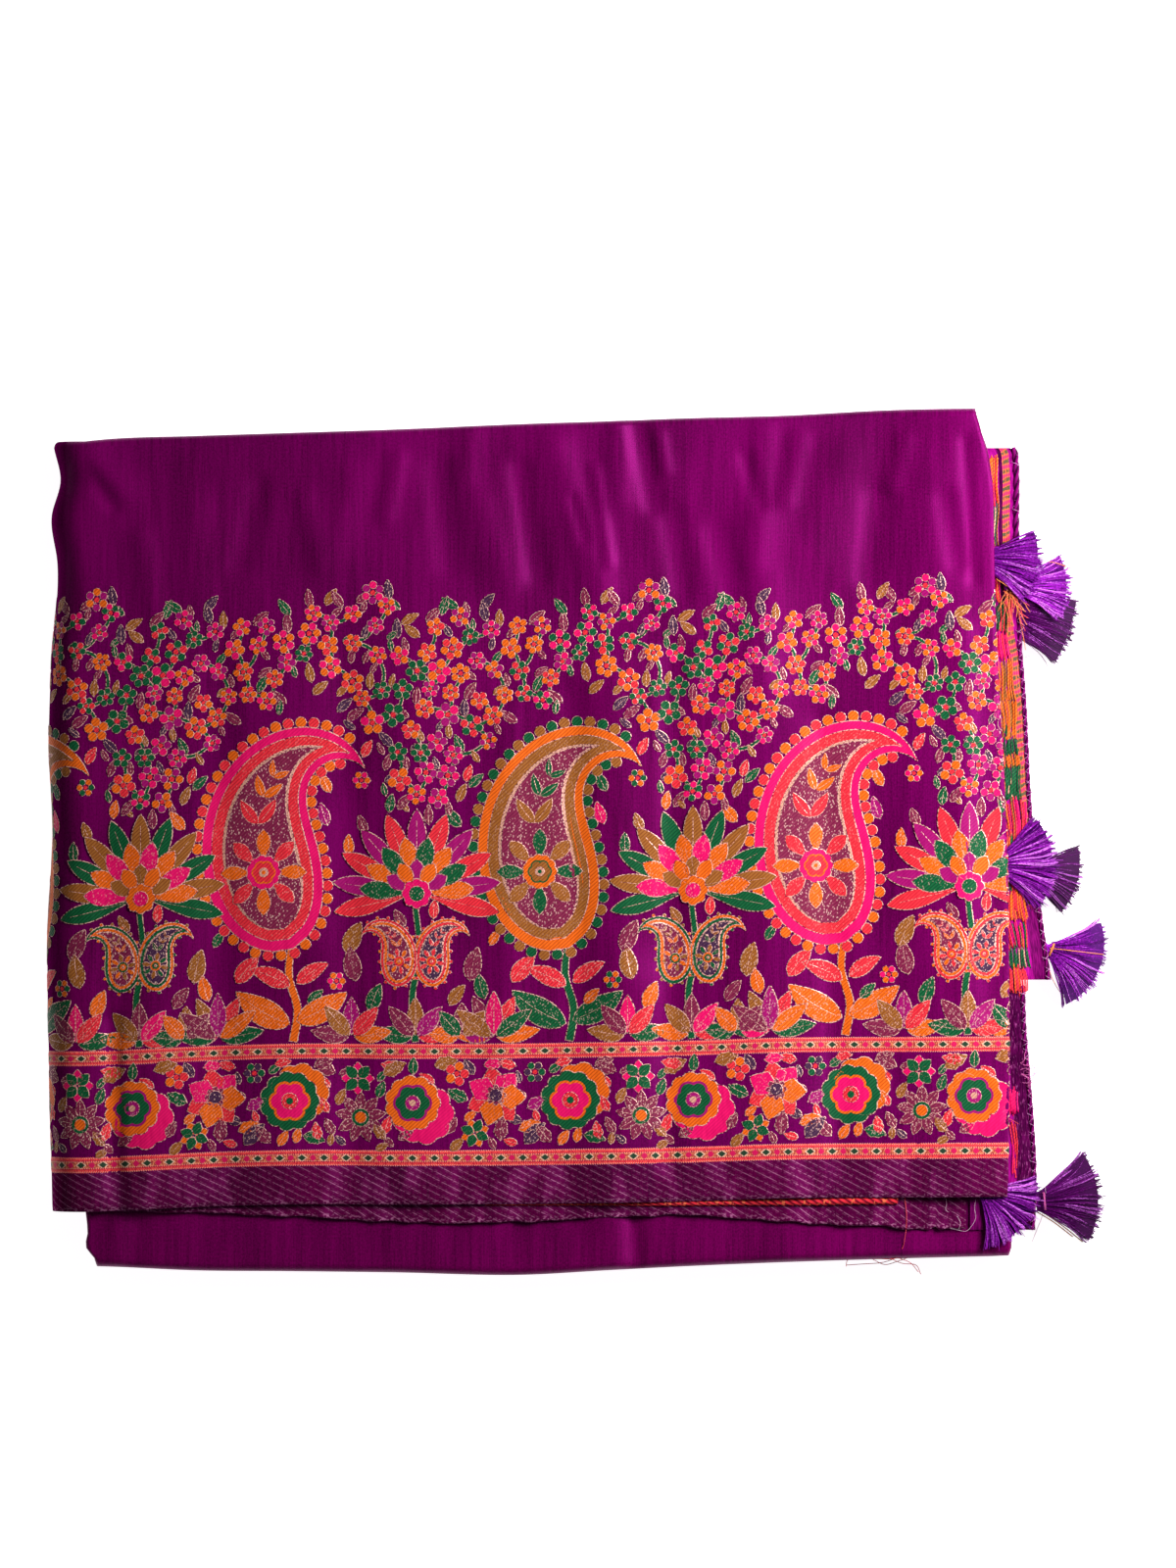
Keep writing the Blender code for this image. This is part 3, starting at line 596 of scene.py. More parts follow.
def paisley(height, outer, band, field, flower, mirror=False):
    """A teardrop whose spine curls over: nested blades, beads round the edge, a flower and petals within."""
    spine = bent_line(1.25 * height, -24, 172, power=2.3, steps=PAISLEY_STEPS)
    made = []
    layers = ((outer, 0.0, 0.0), (band, 0.042, 0.2), ("cream", 0.088, 0.0), (field, 0.098, 0.7))
    for level, (dye, margin, speckle) in enumerate(layers):
        made.append(blade(dye, *teardrop(spine, height, margin * height), level, speckle))
    edge = respaced(made[0]["rim"], max(3.4, 0.052 * height), True)
    for k, spot in enumerate(edge + outward(edge) * 0.020 * height):
        if np.hypot(*(spot - spine[-1])) > 0.1 * height:
            made += moved([plate((band, flower)[k % 2], 0.024 * height, level=-1)], at=spot)
    ring = petal_ring(8, 0.13 * height, 0.062 * height, (flower, band), 0.055 * height, level=4, speckle=0.3,
                      peak=1.3)
    made += moved(ring, at=spine[FLOWER_STEP])
    made += moved(rosette(outer, flower, band, "cream", flower, 0.075 * height), at=spine[FLOWER_STEP], level=5)
    for step, long in PETAL_STEPS:
        for side in (-1, 1):
            petal = leaf((band, flower)[step % 2], long * height, 0.4 * long * height, bend=side * 20, level=4)
            made += moved([petal], at=spine[step], turn=side * 36 - (step - PETAL_STEPS[0][0]) * 4)
    return moved(made, mirror=mirror)


TRIES = 2500


def to_nearest(across, period):
    """Differences along u, each taken to the nearest repeat."""
    return (across + period / 2) % period - period / 2


def gaps(patches, period, v_low, v_high, spacing, clearance, seed, wanted=None):
    """Free places between the patches, found by trial, each with its distance to the nearest patch.

    Each is clearance from every patch and spacing from the others, repeats included. wanted(u, v) may
    narrow the region.
    """
    rng = np.random.default_rng(seed)
    taken = np.concatenate([one["grid"].reshape(-1, 2) for one in patches])
    taken = np.concatenate([taken + np.array([k * period, 0]) for k in (-1, 0, 1)])
    spots = np.empty((0, 3))
    for place in rng.uniform((0, v_low), (period, v_high), (TRIES, 2)):
        if wanted and not wanted(*place):
            continue
        near = np.hypot(*(taken - place).T).min()
        apart = spots[:, :2] - place
        apart[:, 0] = to_nearest(apart[:, 0], period)
        if near > clearance and (len(spots) == 0 or np.hypot(*apart.T).min() > spacing):
            spots = np.concatenate([spots, [(*place, near)]])
    return spots


print("a paisley has", len(paisley(80, "pink", "coral", "mauve", "orange")), "patches")
# %% [markdown]
# ### The layout of the deep border
#
# The pattern repeats along the length every 190 mm, in two halves that differ in dyes:
# first pink, then orange. In each half a tall paisley stands on a leafy stem, a palmette
# stands beside it and leaf sprays fill the foot. What ground is left is filled by rule:
# blossoms on branching twigs above, single leaves below. The rule leaves an uneven edge.

# %% One half of the repeat
REPEAT = 190.0
HALF = REPEAT / 2


def twigs(spots, reach):
    """A thin green stem from each blossom to the nearest one lower down, if it is within reach."""
    made = []
    for u, v, _ in spots:
        apart = spots[:, :2] - (u, v)
        apart[:, 0] = to_nearest(apart[:, 0], HALF)
        far = np.hypot(*apart.T) + 1000 * (apart[:, 1] > -1.5)
        if far.min() < reach:
            du, dv = apart[far.argmin()]
            middle = (u + 0.5 * du - 0.12 * dv, v + 0.5 * dv + 0.12 * du)
            made.append(stem("green", [(u, v), middle, (u + du, v + dv)], 0.9, 1.2))
    return made


def single_leaf(dye, length, width, spot, turn, **form):
    """A leaf whose middle lies on a spot."""
    return moved([leaf(dye, length, width, **form)], at=(spot[0], spot[1] - length / 2), turn=turn)


# u, v and radius of the clusters of blossoms in half a repeat
CLUSTERS = np.array([
    (80, 177, 19), (3, 194, 13), (26, 186, 15), (49, 194, 13), (67, 203, 9), (86, 150, 13), (8, 166, 9),
    (62, 180, 8)])


def in_clusters(margin):
    """A test whether a place lies in a cluster, drawn larger by a margin."""
    def test(u, v):
        across = to_nearest(CLUSTERS[:, 0] - u, HALF)
        return bool((np.hypot(across, CLUSTERS[:, 1] - v) < CLUSTERS[:, 2] + margin).any())
    return test


def blossoms_on_twigs(patches, dyes, seed):
    """Blossoms of two dyes in the clusters, twigs between them, and pointed leaves round them."""
    spots = gaps(patches, HALF, 130, 216, 6.7, 3.7, seed, in_clusters(-1.2))
    made = twigs(spots, 13.0)
    for k, (u, v, _) in enumerate(spots):
        one, two = dyes[k % len(dyes)], dyes[(3 * k + 1) % len(dyes)]
        flower = blossom((4.6, 3.7, 3.5, 4.0)[k % 4], one, two, petals=5 + (k % 3 > 0))
        made += moved(flower, at=(u, v), turn=29 * k, level=1 + k % 2)
    left = gaps(made + patches, HALF, 130, 222, 4.2, 1.4, seed + 1, in_clusters(2.8))
    for k, (u, v, near) in enumerate(left):
        long = min(7.0, 3.0 * near)
        dye = ("mauve", "olive", "green", "slate", "mauve")[k % 5]
        made += single_leaf(dye, long, 0.45 * long, (u, v), (61 * k) % 120 - 60, bend=14, speckle=0.35)
    return made


def half_repeat(main, band, field, flower, side_dyes, leaf_dyes):
    """Every patch of half a repeat, with u from 0 to 95. v is counted from the selvedge."""
    made = []
    # tall paisley on its stem
    made += [stem(flower, [(40, 56), (41.5, 67), (38.5, 79), (40, 92)], 2.8, 2.2)]
    made += moved(paisley(80, main, band, field, flower), at=(40, 88), level=3)
    for side, foot, long, bend, turn in (
            (-1, 62, 22, 24, 58), (1, 63, 20, -22, 60), (-1, 75, 15, -20, 66), (1, 76, 13, 20, 58)):
        side_leaf = leaf(leaf_dyes[(foot + side) % 3], long, 0.42 * long, bend=bend, speckle=0.45)
        made += moved([side_leaf], at=(40 + side * 1.2, foot), turn=-side * turn)
    # palmette beside it, with two smaller paisleys at its foot
    made += [stem("green", [(82, 56), (81, 72), (83.5, 86), (82, 103)], 2.4, 1.8)]
    made += moved(palmette(26, side_dyes, main), at=(82.5, 107), level=6)
    made += moved(paisley(25, side_dyes[2], side_dyes[0], "slate", band), at=(89, 75), turn=-12, level=2)
    mirrored = paisley(25, side_dyes[0], side_dyes[2], "mauve", band, mirror=True)
    made += moved(mirrored, at=(75, 75), turn=12, level=2)
    # leaf sprays along the foot
    for k, (u, long) in enumerate(((14, 15), (60, 13), (82, 13), (98, 11))):
        dyes = [leaf_dyes[(k + i) % len(leaf_dyes)] for i in range(7)]
        spray = petal_ring(5 if k else 7, long, 5.8, dyes, 1.2, spread=160, start=-80, speckle=0.45, rib=True)
        made += moved(spray, at=(u, 57.2))
    made += blossoms_on_twigs(made, (flower, "pink", "coral", "green", "magenta", "orange", main), SEED)
    # single leaves and blossoms in the ground that is left
    for k, (u, v, near) in enumerate(gaps(made, HALF, 60, 160, 9.0, 2.4, SEED + 7)):
        if k % 4 == 3 and near > 4:
            made += moved(blossom(0.85 * near, flower, main), at=(u, v), turn=20 * k)
        else:
            long = min(12.0, 2.6 * near)
            turn = (47 * k) % 90 - 45
            made += single_leaf(leaf_dyes[k % 6], long, 0.5 * long, (u, v), turn, bend=16, speckle=0.45)
    return made


SEED = 11
# u at which the pattern's first half begins
PATTERN_START = -138
pink_half = half_repeat("pink", "coral", "mauve", "orange", ("coral", "magenta", "orange", "green"),
                        ("green", "orange", "coral", "magenta", "olive", "mauve"))
orange_half = half_repeat("orange", "olive", "mauve", "green", ("green", "olive", "orange", "pink"),
                          ("orange", "green", "coral", "pink", "mauve", "olive"))
deep_border = moved(pink_half, at=(PATTERN_START, 0)) + moved(orange_half, at=(PATTERN_START + HALF, 0))
print("deep border:", len(deep_border), "patches in a repeat")

# %% [markdown]
# ### The flowered band
#
# Between the two guard stripes runs a band of rosettes: green-hearted ones in orange, and
# pink-hearted ones in green, every 54 and 42 mm in turn, with loose petals, daisies and
# leaves in the gaps.

# %% One repeat of the flowered band
BAND_REPEAT = 96.5
# u, v, turn, length and dye of the leaves and petals that fill the band
BAND_LEAVES = (
    (19.0, 36.0, 62, 8, "green"), (39.4, 33.0, -64, 8, "magenta"), (36.5, 25.5, -70, 8, "orange"),
    (30.2, 22.0, -6, 8.6, "mauve"), (38.6, 20.8, -44, 10, "slate"), (47.6, 21.4, 40, 8, "mauve"),
    (58.8, 23.6, -104, 8, "green"), (64.4, 22.0, 12, 6.6, "coral"), (86.6, 24.0, -18, 7, "coral"),
    (69.6, 24.2, 30, 6.4, "mauve"), (88.4, 33.2, -30, 6.6, "mauve"), (67.6, 31.6, 28, 6.2, "coral"),
    (70.0, 45.2, 62, 8, "mauve"), (86.4, 44.6, -62, 9, "olive"), (90.6, 41.0, -96, 7.4, "olive"),
    (7.4, 47.6, -76, 8.4, "olive"), (-3.8, 47.4, 82, 7.4, "coral"), (49.0, 48.2, -80, 6.0, "coral"),
    (24.4, 47.8, -84, 7.0, "pink"), (12.0, 24.4, -30, 6.4, "mauve"), (62.6, 47.2, -70, 7.0, "mauve"),
    (35.6, 47.6, 74, 6.4, "coral"), (-9.4, 22.6, 38, 6.6, "olive"), (91.6, 22.4, -60, 6.0, "mauve"))


def flowered_band():
    """Every patch of one repeat, with u = 0 at the green-hearted rosette and v from the selvedge."""
    made = moved([plate("pink", 10.8, 0, lobes=9, depth=0.14)], at=(3.6, 31.4))
    made += moved(rosette("orange", "magenta", "green", "magenta", "cream", 9.6), at=(0, 35.0))
    made += moved([plate("orange", 10.2, 0, lobes=9, depth=0.14)], at=(57.6, 38.4))
    made += moved(rosette("green", "orange", "pink", "coral", "green", 10.3), at=(54.2, 35.6))
    # jagged flower
    dyes = ("coral", "pink", "coral", "orange", "coral", "orange", "pink")
    jagged = petal_ring(7, 9.6, 8.0, dyes, 0.8, teeth=4, speckle=0.25)
    made += moved(jagged, at=(28.6, 37.2), turn=10)
    heart = [plate("slate", 2.2, 2, speckle=0.8), plate("mauve", 3.6, 1, lobes=8, depth=0.35, speckle=0.6)]
    made += moved(heart, at=(28.6, 37.6))
    # daisy
    daisy = petal_ring(9, 6.6, 3.7, ("mauve",), 2.2, speckle=0.7, rib=True)
    made += moved(daisy + [plate("green", 3.1, 2), plate("orange", 2.0, 3)], at=(78.6, 30.0))
    # pinwheels and little blossoms
    made += moved(petal_ring(8, 4.6, 3.4, ("orange", "green"), 0.5), at=(21.4, 24.6), turn=22)
    made += moved(petal_ring(8, 5.2, 3.8, ("pink", "green"), 0.5), at=(77.6, 43.4))
    made += moved(blossom(4.6, "orange", "coral", petals=5), at=(15.2, 45.0))
    made += moved(blossom(4.2, "slate", "green", petals=6), at=(42.0, 45.4))
    for u, v, turn, long, dye in BAND_LEAVES:
        made += moved([leaf(dye, long, 0.52 * long, bend=14, teeth=3, speckle=0.6)], at=(u, v), turn=turn)
    return made


def filled_band():
    """The band's flowers with small leaves and petals in the gaps, found by rule."""
    made = flowered_band()
    for k, (u, v, near) in enumerate(gaps(made, BAND_REPEAT, 21.0, 48.5, 4.2, 1.7, 3)):
        long = min(6.2, 2.6 * near)
        dye = ("mauve", "green", "coral", "olive", "slate", "orange")[k % 6]
        made += single_leaf(dye, long, 0.55 * long, (u, v), (77 * k) % 160 - 80, bend=12, speckle=0.3, level=-1)
    return made


low_band = moved(filled_band(), at=(-153.4, 0))
print("flowered band:", len(low_band), "patches in a repeat")
# %% [markdown]
# ## Finish of the silk
#
# The field is purple silk. Its streaks run across the length, with the weft; the gleam is
# broad. The selvedge is plum with slanting silver lines and patches of painted sheen, and its lower edge
# glints.

# %% The purple silk
GLEAM, SHEEN = srgb(255, 60, 215), srgb(200, 20, 180)
GLOSS = 0.42
# Metres, as all lengths in a material: distance between picks, width of the selvedge, u of the turn's start
PICK, SELVEDGE_WIDTH, MATT_FROM = 0.00042, 0.0134, -0.172


def selvedge_look(r, where, u, v, share):
    """The selvedge's plum with patches of painted sheen, the strength of its silver lines, and 1 where the
    selvedge is.
    """
    slant = r.plus(r.times(u, 0.454), r.times(v, 0.891))
    strong = r.band(r.math("FRACT", r.times(slant, 1 / 0.0022)), 0.43, 0.55, 0.09)
    weak = r.band(r.math("FRACT", r.times(slant, 1 / 0.0011)), 0.40, 0.60, 0.2)
    dashes = r.stretched_noise(where, 900.0, 1300.0, 2.0)
    line = r.times(strong, r.above(dashes, 0.44, 0.10))
    faint = r.times(weak, r.above(dashes, 0.53, 0.10))
    glint = r.times(r.band(v, -0.001, 0.0012, 0.001), r.above(dashes, 0.56, 0.05))
    silver = r.math("MAXIMUM", r.math("MAXIMUM", line, r.times(faint, 0.35)), glint)
    # Pale patches on the plum, and stronger silver lines within them, are painted satin sheen.
    sheen_patches = r.above(r.stretched_noise(where, 110.0, 40.0, 2.0), 0.56, 0.14)
    silver = r.times(silver, r.math("MULTIPLY_ADD", sheen_patches, 0.4, 0.32))
    plum = r.mix(share, srgb(42, 0, 26), srgb(88, 1, 56))
    plum = r.mix(r.times(sheen_patches, 0.35), plum, srgb(136, 26, 102))
    return plum, silver, r.below(v, SELVEDGE_WIDTH, 0.0006)


def silk(name, dark, light, has_selvedge):
    """Purple silk: colour = dark to light by fine and coarse streaks.

    The cloth with the selvedge also turns round to the underside, and there, in the shade, it has no gloss.
    """
    r = Recipe(name)
    where, u, v = r.cloth()
    fine = r.stretched_noise(where, 2600.0, 60.0, 2.0)
    slub = r.stretched_noise(where, 420.0, 26.0, 3.0)
    grain = r.stretched_noise(where, 1700.0, 1300.0, 2.0)
    broad = r.stretched_noise(where, 26.0, 14.0, 2.0)
    streak = r.plus(r.times(fine, 0.3), r.math("MULTIPLY_ADD", slub, 0.25, r.times(grain, 0.45)))
    streak = r.plus(streak, r.math("MULTIPLY_ADD", broad, 0.4, -0.2))
    share = r.above(streak, 0.5, 0.28)
    colour, gloss = r.mix(share, dark, light), GLOSS
    if has_selvedge:
        plum, silver, in_edge = selvedge_look(r, where, u, v, share)
        colour = r.mix(in_edge, colour, plum)
        colour = r.mix(r.times(silver, in_edge), colour, srgb(206, 128, 176))
        gloss = r.times(r.above(u, MATT_FROM, 0.012), GLOSS)
    roughness = r.math("MULTIPLY_ADD", streak, 0.14, 0.38)
    height = r.plus(fine, r.times(r.math("SINE", r.times(v, 2 * math.pi / PICK)), 0.25))
    return r.finish(Base_Color=colour, Roughness=roughness, Sheen_Weight=0.2, Sheen_Roughness=0.4,
                    Sheen_Tint=SHEEN, Specular_IOR_Level=gloss, Specular_Tint=GLEAM,
                    Normal=r.bump(height, 0.00006, 0.6))


field_silk = silk("silk_field", srgb(68, 0, 49), srgb(114, 0, 86), True)
plain_silk = silk("silk_plain", srgb(66, 0, 46), srgb(118, 0, 85), False)

# %% [markdown]
# ### The outer cloth
#
# This is the piece that carries the border. Its grid runs from the east end of the
# underside, west below the bundle, up round the turn and back over the front to the east
# edge, where it goes round a narrow fold. Across, it starts tucked under the selvedge
# edge, comes round that edge, climbs the front and ends round the top fold.

# %% The outer cloth
# v and lift of the rows that come round the selvedge edge from below, and angles of those round the top fold
EDGE_ROWS = np.array([
    (16, -1.0), (5, -1.0), (0.9, -0.95), (0.25, -0.8), (0.0, -0.55), (0.0, -0.3), (0.08, -0.08)])
TOP_ANGLES = np.radians([14, 30, 48, 66, 84, 104, 126, 150])
FIRST_ROW, UNDER_EAST = 0.35, 146.6
FRONT_ROWS, UNDER_COLUMNS, TURN_COLUMNS, FRONT_COLUMNS = 175, 91, 23, 215


def outer_cloth_grid():
    """Rows along the width by columns along the length of (u, v, lift, over)."""
    top = cloth_height(WEST_LINE)
    shares = np.linspace(0, 1, FRONT_ROWS + 1)[1:]
    v = np.concatenate([EDGE_ROWS[:, 0], FIRST_ROW + shares * (top - FIRST_ROW), np.full(len(TOP_ANGLES), top)])
    lift = np.concatenate([EDGE_ROWS[:, 1], np.zeros(FRONT_ROWS + len(TOP_ANGLES))])
    over = np.concatenate([np.zeros(len(EDGE_ROWS) + FRONT_ROWS), TOP_ANGLES])
    under = np.linspace(1, 0, UNDER_COLUMNS + 1)[:-1]
    wrap = np.linspace(TURN_LENGTH, 0, TURN_COLUMNS + 1)[:-1]
    fold = math.pi * EAST_RADIUS
    past = np.concatenate([np.linspace(0, fold, 6)[1:], fold + np.array([3.0, 9.0])])
    start, east = turn_start(v)[:, None], east_edge(v)[:, None] - EAST_RADIUS
    below = np.minimum(UNDER_EAST, east - 0.6) - start
    u = np.concatenate([start - TURN_LENGTH - below * under, start - wrap,
                        start + (east - start) * np.linspace(0, 1, FRONT_COLUMNS), east + past], axis=1)
    column_x = np.clip(np.where(u < start, start, u), -182, 148)
    in_edge = np.arange(len(v))[:, None] < len(EDGE_ROWS)
    v = np.where(in_edge, v[:, None], v[:, None] / top * cloth_height(column_x))
    return u, v, np.broadcast_to(lift[:, None], u.shape), np.broadcast_to(over[:, None], u.shape)


u, v, lift, over = outer_cloth_grid()
flat_uv = np.stack([u, np.where(lift < 0, -v, v)], axis=-1)
outer_cloth = grid_piece("outer_cloth", cloth_point(u, v, lift, over), flat_uv, field_silk, "silk_field")
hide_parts("front_panel", "back_panel")

# %% [markdown]
# ### The motifs on the cloth
#
# The motif patches are repeated along the whole cloth, carried to their place by the same
# function, and lifted by a fraction of a millimetre. Each rim becomes a narrow ribbon with
# little teeth, because the metal thread steps from pick to pick.

# %% Threads of the motifs
TWILL = 0.00095


def thread_silk(name, colour, lines):
    """Weft silk: twill lines that climb to the right, darkened with painted shade in the grooves between the
    ribs, and metal specks as far as the mesh asks for them.
    """
    r = Recipe(name)
    where, u, v = r.cloth()
    slant = r.plus(r.times(u, -0.67), r.times(v, 0.74))
    line = r.band(r.math("FRACT", r.times(slant, 1 / TWILL)), 0.33, 0.67, 0.2)
    tone = r.stretched_noise(where, 700.0, 160.0, 2.0)
    # A darker copy of the dye: painted shade in the twill's grooves.
    dark = (colour[0] * 0.55, colour[1] * 0.34, colour[2] * 0.6)
    light = tuple(min(1.0, c * 1.12 + 0.006) for c in colour)
    body = r.mix(r.above(tone, 0.5, 0.5), tuple(c * 0.86 for c in colour), light)
    body = r.mix(r.times(line, lines), body, dark)
    cells = r.node("Mapping", Vector=where, Scale=(1500.0, 900.0, 1.0))
    specks = r.node("TexVoronoi", 0, Vector=cells, Scale=1.0)
    speck = r.times(r.below(specks, 0.26, 0.12), r.mark("speckle"))
    body = r.mix(speck, body, srgb(238, 196, 186))
    height = r.math("SUBTRACT", r.times(speck, 0.6), line)
    return r.finish(Base_Color=body, Roughness=0.47, Sheen_Weight=0.05, Sheen_Roughness=0.4,
                    Specular_IOR_Level=0.14, Normal=r.bump(height, 0.00012, 0.6))


DYE_COLOURS = {
    "pink": srgb(230, 2, 100), "orange": srgb(236, 104, 16), "coral": srgb(232, 44, 58),
    "green": srgb(6, 90, 48), "slate": srgb(70, 38, 70), "olive": srgb(158, 96, 38),
    "mauve": srgb(130, 32, 70), "magenta": srgb(160, 2, 104), "cream": srgb(216, 160, 134)}
SMOOTH_DYES = ("pink", "magenta")
dye_silks = [thread_silk("weft_" + dye, DYE_COLOURS[dye], 0.3 if dye in SMOOTH_DYES else 0.75) for dye in DYES]


def metal_thread():
    """The rim's flat metal thread: pale silver rose, broken by dark ticks where the silk binds it."""
    r = Recipe("metal_thread")
    ticks = r.stretched_noise(r.node("UVMap", uv_map="cloth"), 1250.0, 1250.0, 1.0)
    colour = r.mix(r.above(ticks, 0.47, 0.07), srgb(88, 12, 48), srgb(232, 178, 164))
    return r.finish(Base_Color=colour, Roughness=0.38, Metallic=0.15, Specular_IOR_Level=0.3,
                    Normal=r.bump(ticks, 0.00008, 0.5))


rim_thread = metal_thread()
print("thread silks:", len(dye_silks))

# %% Ribbons for the rims
def rim_ribbon(line, closed, width, base, step):
    """Two points across at each place of the line, the inner one a little higher. Teeth alternate along it."""
    line = respaced(line, step, closed)
    out = outward(line, closed)
    tooth = np.where(np.arange(len(line)) % 2 == 0, 1.0, 0.45)[:, None]
    across = np.stack([line + out * width * 0.62 * tooth, line - out * width * 0.40 * tooth[::-1]], axis=1)
    up = np.broadcast_to(np.array([base - 0.02, base + 0.035]), across.shape[:2])
    ribbon = np.concatenate([across, up[..., None]], axis=2)
    return np.concatenate([ribbon, ribbon[:1]]) if closed else ribbon


def lie(one, k):
    """Height of a patch above the cloth: by its level, and a hair more by its number, so that no two meet."""
    return 0.15 + 0.03 * one["level"] + 0.0007 * (k % 23)


def lifted(one, k):
    """A patch's grid with its height above the cloth as a third number."""
    return np.concatenate([one["grid"], np.full(one["grid"].shape[:2] + (1,), lie(one, k))], axis=2)


def rims_of(patches, step):
    """Every rim and rib as a ribbon. Rims are 0.38 mm wide on patches over 12 mm and 0.2 under 2 mm."""
    made = []
    for k, one in enumerate(patches):
        if one["rim"] is not None:
            width = np.interp(np.ptp(one["rim"], axis=0).max(), [2, 12], [0.20, 0.38])
            made.append(rim_ribbon(one["rim"], True, width, lie(one, k), step))
        made += [rim_ribbon(rib, False, 0.26, lie(one, k), step) for rib in one["ribs"]]
    return made


def repeated(patches, period, low, high):
    """Copies along u of the patches whose middle lies between low and high."""
    made = []
    middles = np.array([one["grid"][..., 0].mean() for one in patches])
    first, last = math.floor((low - middles.max()) / period), math.ceil((high - middles.min()) / period)
    for k in range(first, last + 1):
        kept = [one for one, middle in zip(patches, middles) if low <= middle + k * period < high]
        made += moved(kept, at=(k * period, 0))
    return made


def clear_of_the_end(patches):
    """Leaves out the patches that begin more than 4 mm past the east edge."""
    return [one for one in patches if one["grid"][..., 0].min() < east_edge(one["grid"][..., 1].mean()) + 4.0]


def lay_on_cloth(name, grids, materials, picks=None, marks=None):
    """One piece from many small grids of (u, v, height)."""
    points, faces = joined(grids)
    return new_piece(name, cloth_point(*points.T), faces, points[:, :2], materials,
                     None if picks is None else per_face(picks, grids), marks)


def motif_pieces(side, low, high, step):
    """The fills and the rims of every motif whose middle lies between low and high along the cloth."""
    patches = repeated(deep_border, REPEAT, low, high) + repeated(low_band, BAND_REPEAT, low, high)
    patches = clear_of_the_end(patches)
    grids = [lifted(one, k) for k, one in enumerate(patches)]
    picks = np.array([DYES.index(one["dye"]) for one in patches])
    speckles = np.repeat([one["speckle"] for one in patches], [grid.shape[0] * grid.shape[1] for grid in grids])
    fills = lay_on_cloth(f"motif_silk_{side}", grids, dye_silks, picks, {"speckle": speckles})
    return fills, lay_on_cloth(f"motif_rims_{side}", rims_of(patches, step), [rim_thread])


TURN_FOOT = WEST_LINE - TURN_LENGTH / 2
front_motifs = motif_pieces("front", TURN_FOOT, 158.0, 0.62)
under_motifs = motif_pieces("under", -518.0, TURN_FOOT, 1.5)

# %% [markdown]
# ### The guard stripes
#
# A coral stripe with green diamonds runs above and below the flowered band. It is a
# raised strip with toothed edges, and its small figures follow u and v.

# %% Guard stripes
# v of the lower and the upper edge of each, and the distances between its figures and its ticks in metres
GUARDS = ((13.2, 18.9), (50.0, 55.4))
FIGURE, TICK = 0.0076, 0.00078


def guard_silk():
    """Coral rows with pale ticks at both edges, and between them an orange row with two figures in turn.

    The figures are a green diamond with a pale rim and a magenta dot.
    """
    r = Recipe("guard_stripe_silk")
    where, u, _ = r.cloth()
    off = r.math("ABSOLUTE", r.mark("across"))
    turn, tick = r.zigzag(u, FIGURE), r.zigzag(u, TICK)
    noise = r.stretched_noise(where, 1900.0, 900.0, 2.0)
    coral = r.mix(r.above(noise, 0.48, 0.2), srgb(200, 20, 52), srgb(242, 74, 74))
    dark_ticks = r.times(r.band(tick, 0.32, 0.6, 0.12), r.band(off, 0.40, 0.56, 0.05))
    coral = r.mix(dark_ticks, coral, srgb(120, 14, 60))
    pale_rows = r.math("MAXIMUM", r.band(off, 0.84, 1.2, 0.05), r.band(off, 0.34, 0.44, 0.04))
    middle = r.mix(r.above(noise, 0.5, 0.12), srgb(160, 42, 48), srgb(222, 128, 88))
    from_dot = r.plus(r.times(r.math("SUBTRACT", 0.5, turn), 5.0), r.times(off, 1.6))
    middle = r.mix(r.below(from_dot, 0.8, 0.12), middle, srgb(204, 14, 84))
    from_diamond = r.plus(r.times(turn, 4.6), r.times(off, 2.2))
    pale_rim = r.times(r.band(from_diamond, 0.8, 1.2, 0.12), r.above(noise, 0.42, 0.1))
    middle = r.mix(pale_rim, middle, srgb(228, 186, 160))
    middle = r.mix(r.below(from_diamond, 0.84, 0.12), middle, srgb(34, 58, 40))
    colour = r.mix(r.above(off, 0.40, 0.05), middle, coral)
    pale_ticks = r.times(r.times(r.below(tick, 0.24, 0.1), pale_rows), 0.65)
    colour = r.mix(pale_ticks, colour, srgb(250, 190, 166))
    return r.finish(Base_Color=colour, Roughness=0.5, Sheen_Weight=0.05, Specular_IOR_Level=0.15,
                    Normal=r.bump(r.plus(noise, tick), 0.0001, 0.6))


def guard_grid(low, high, u_low, u_high):
    """Five points across by one every 0.4 mm along. Each second edge point is drawn in to make a tooth."""
    u = np.arange(u_low, u_high, 0.4)
    share = np.array([-1.0, -0.5, 0.0, 0.5, 1.0])
    at_edge = np.abs(share) == 1
    tooth = np.where(np.arange(len(u)) % 2 == 0, 1.0, 0.86)
    v = (low + high) / 2 + (high - low) / 2 * (share * np.where(at_edge, tooth[:, None], 1.0))
    grid = np.stack(np.broadcast_arrays(u[:, None], v, np.where(at_edge, 0.0, 0.16)), axis=-1)
    return grid, np.broadcast_to(share, v.shape)


def guard_piece(side, u_low, u_high):
    """Both guard stripes between two places along the cloth."""
    made = [guard_grid(low, high, u_low, u_high) for low, high in GUARDS]
    points, faces = joined([grid for grid, _ in made])
    across = np.concatenate([share.ravel() for _, share in made])
    return new_piece(f"guard_stripes_{side}", cloth_point(*points.T), faces, points[:, :2], [guard_stripe_silk],
                     marks={"across": across})


guard_stripe_silk = guard_silk()
front_guards = guard_piece("front", TURN_FOOT, 150.5)
under_guards = guard_piece("under", -523.0, TURN_FOOT + 0.4)
# %% [markdown]
# ## Under the front fold
#
# The hidden layers show only at their edges, as a stack of thin rounded folds that creep
# past each other. A profile with a ridge for each fold is carried round the outline of
# the bundle. Each ridge has its own slow drift in and out, so no two lie exactly alike.

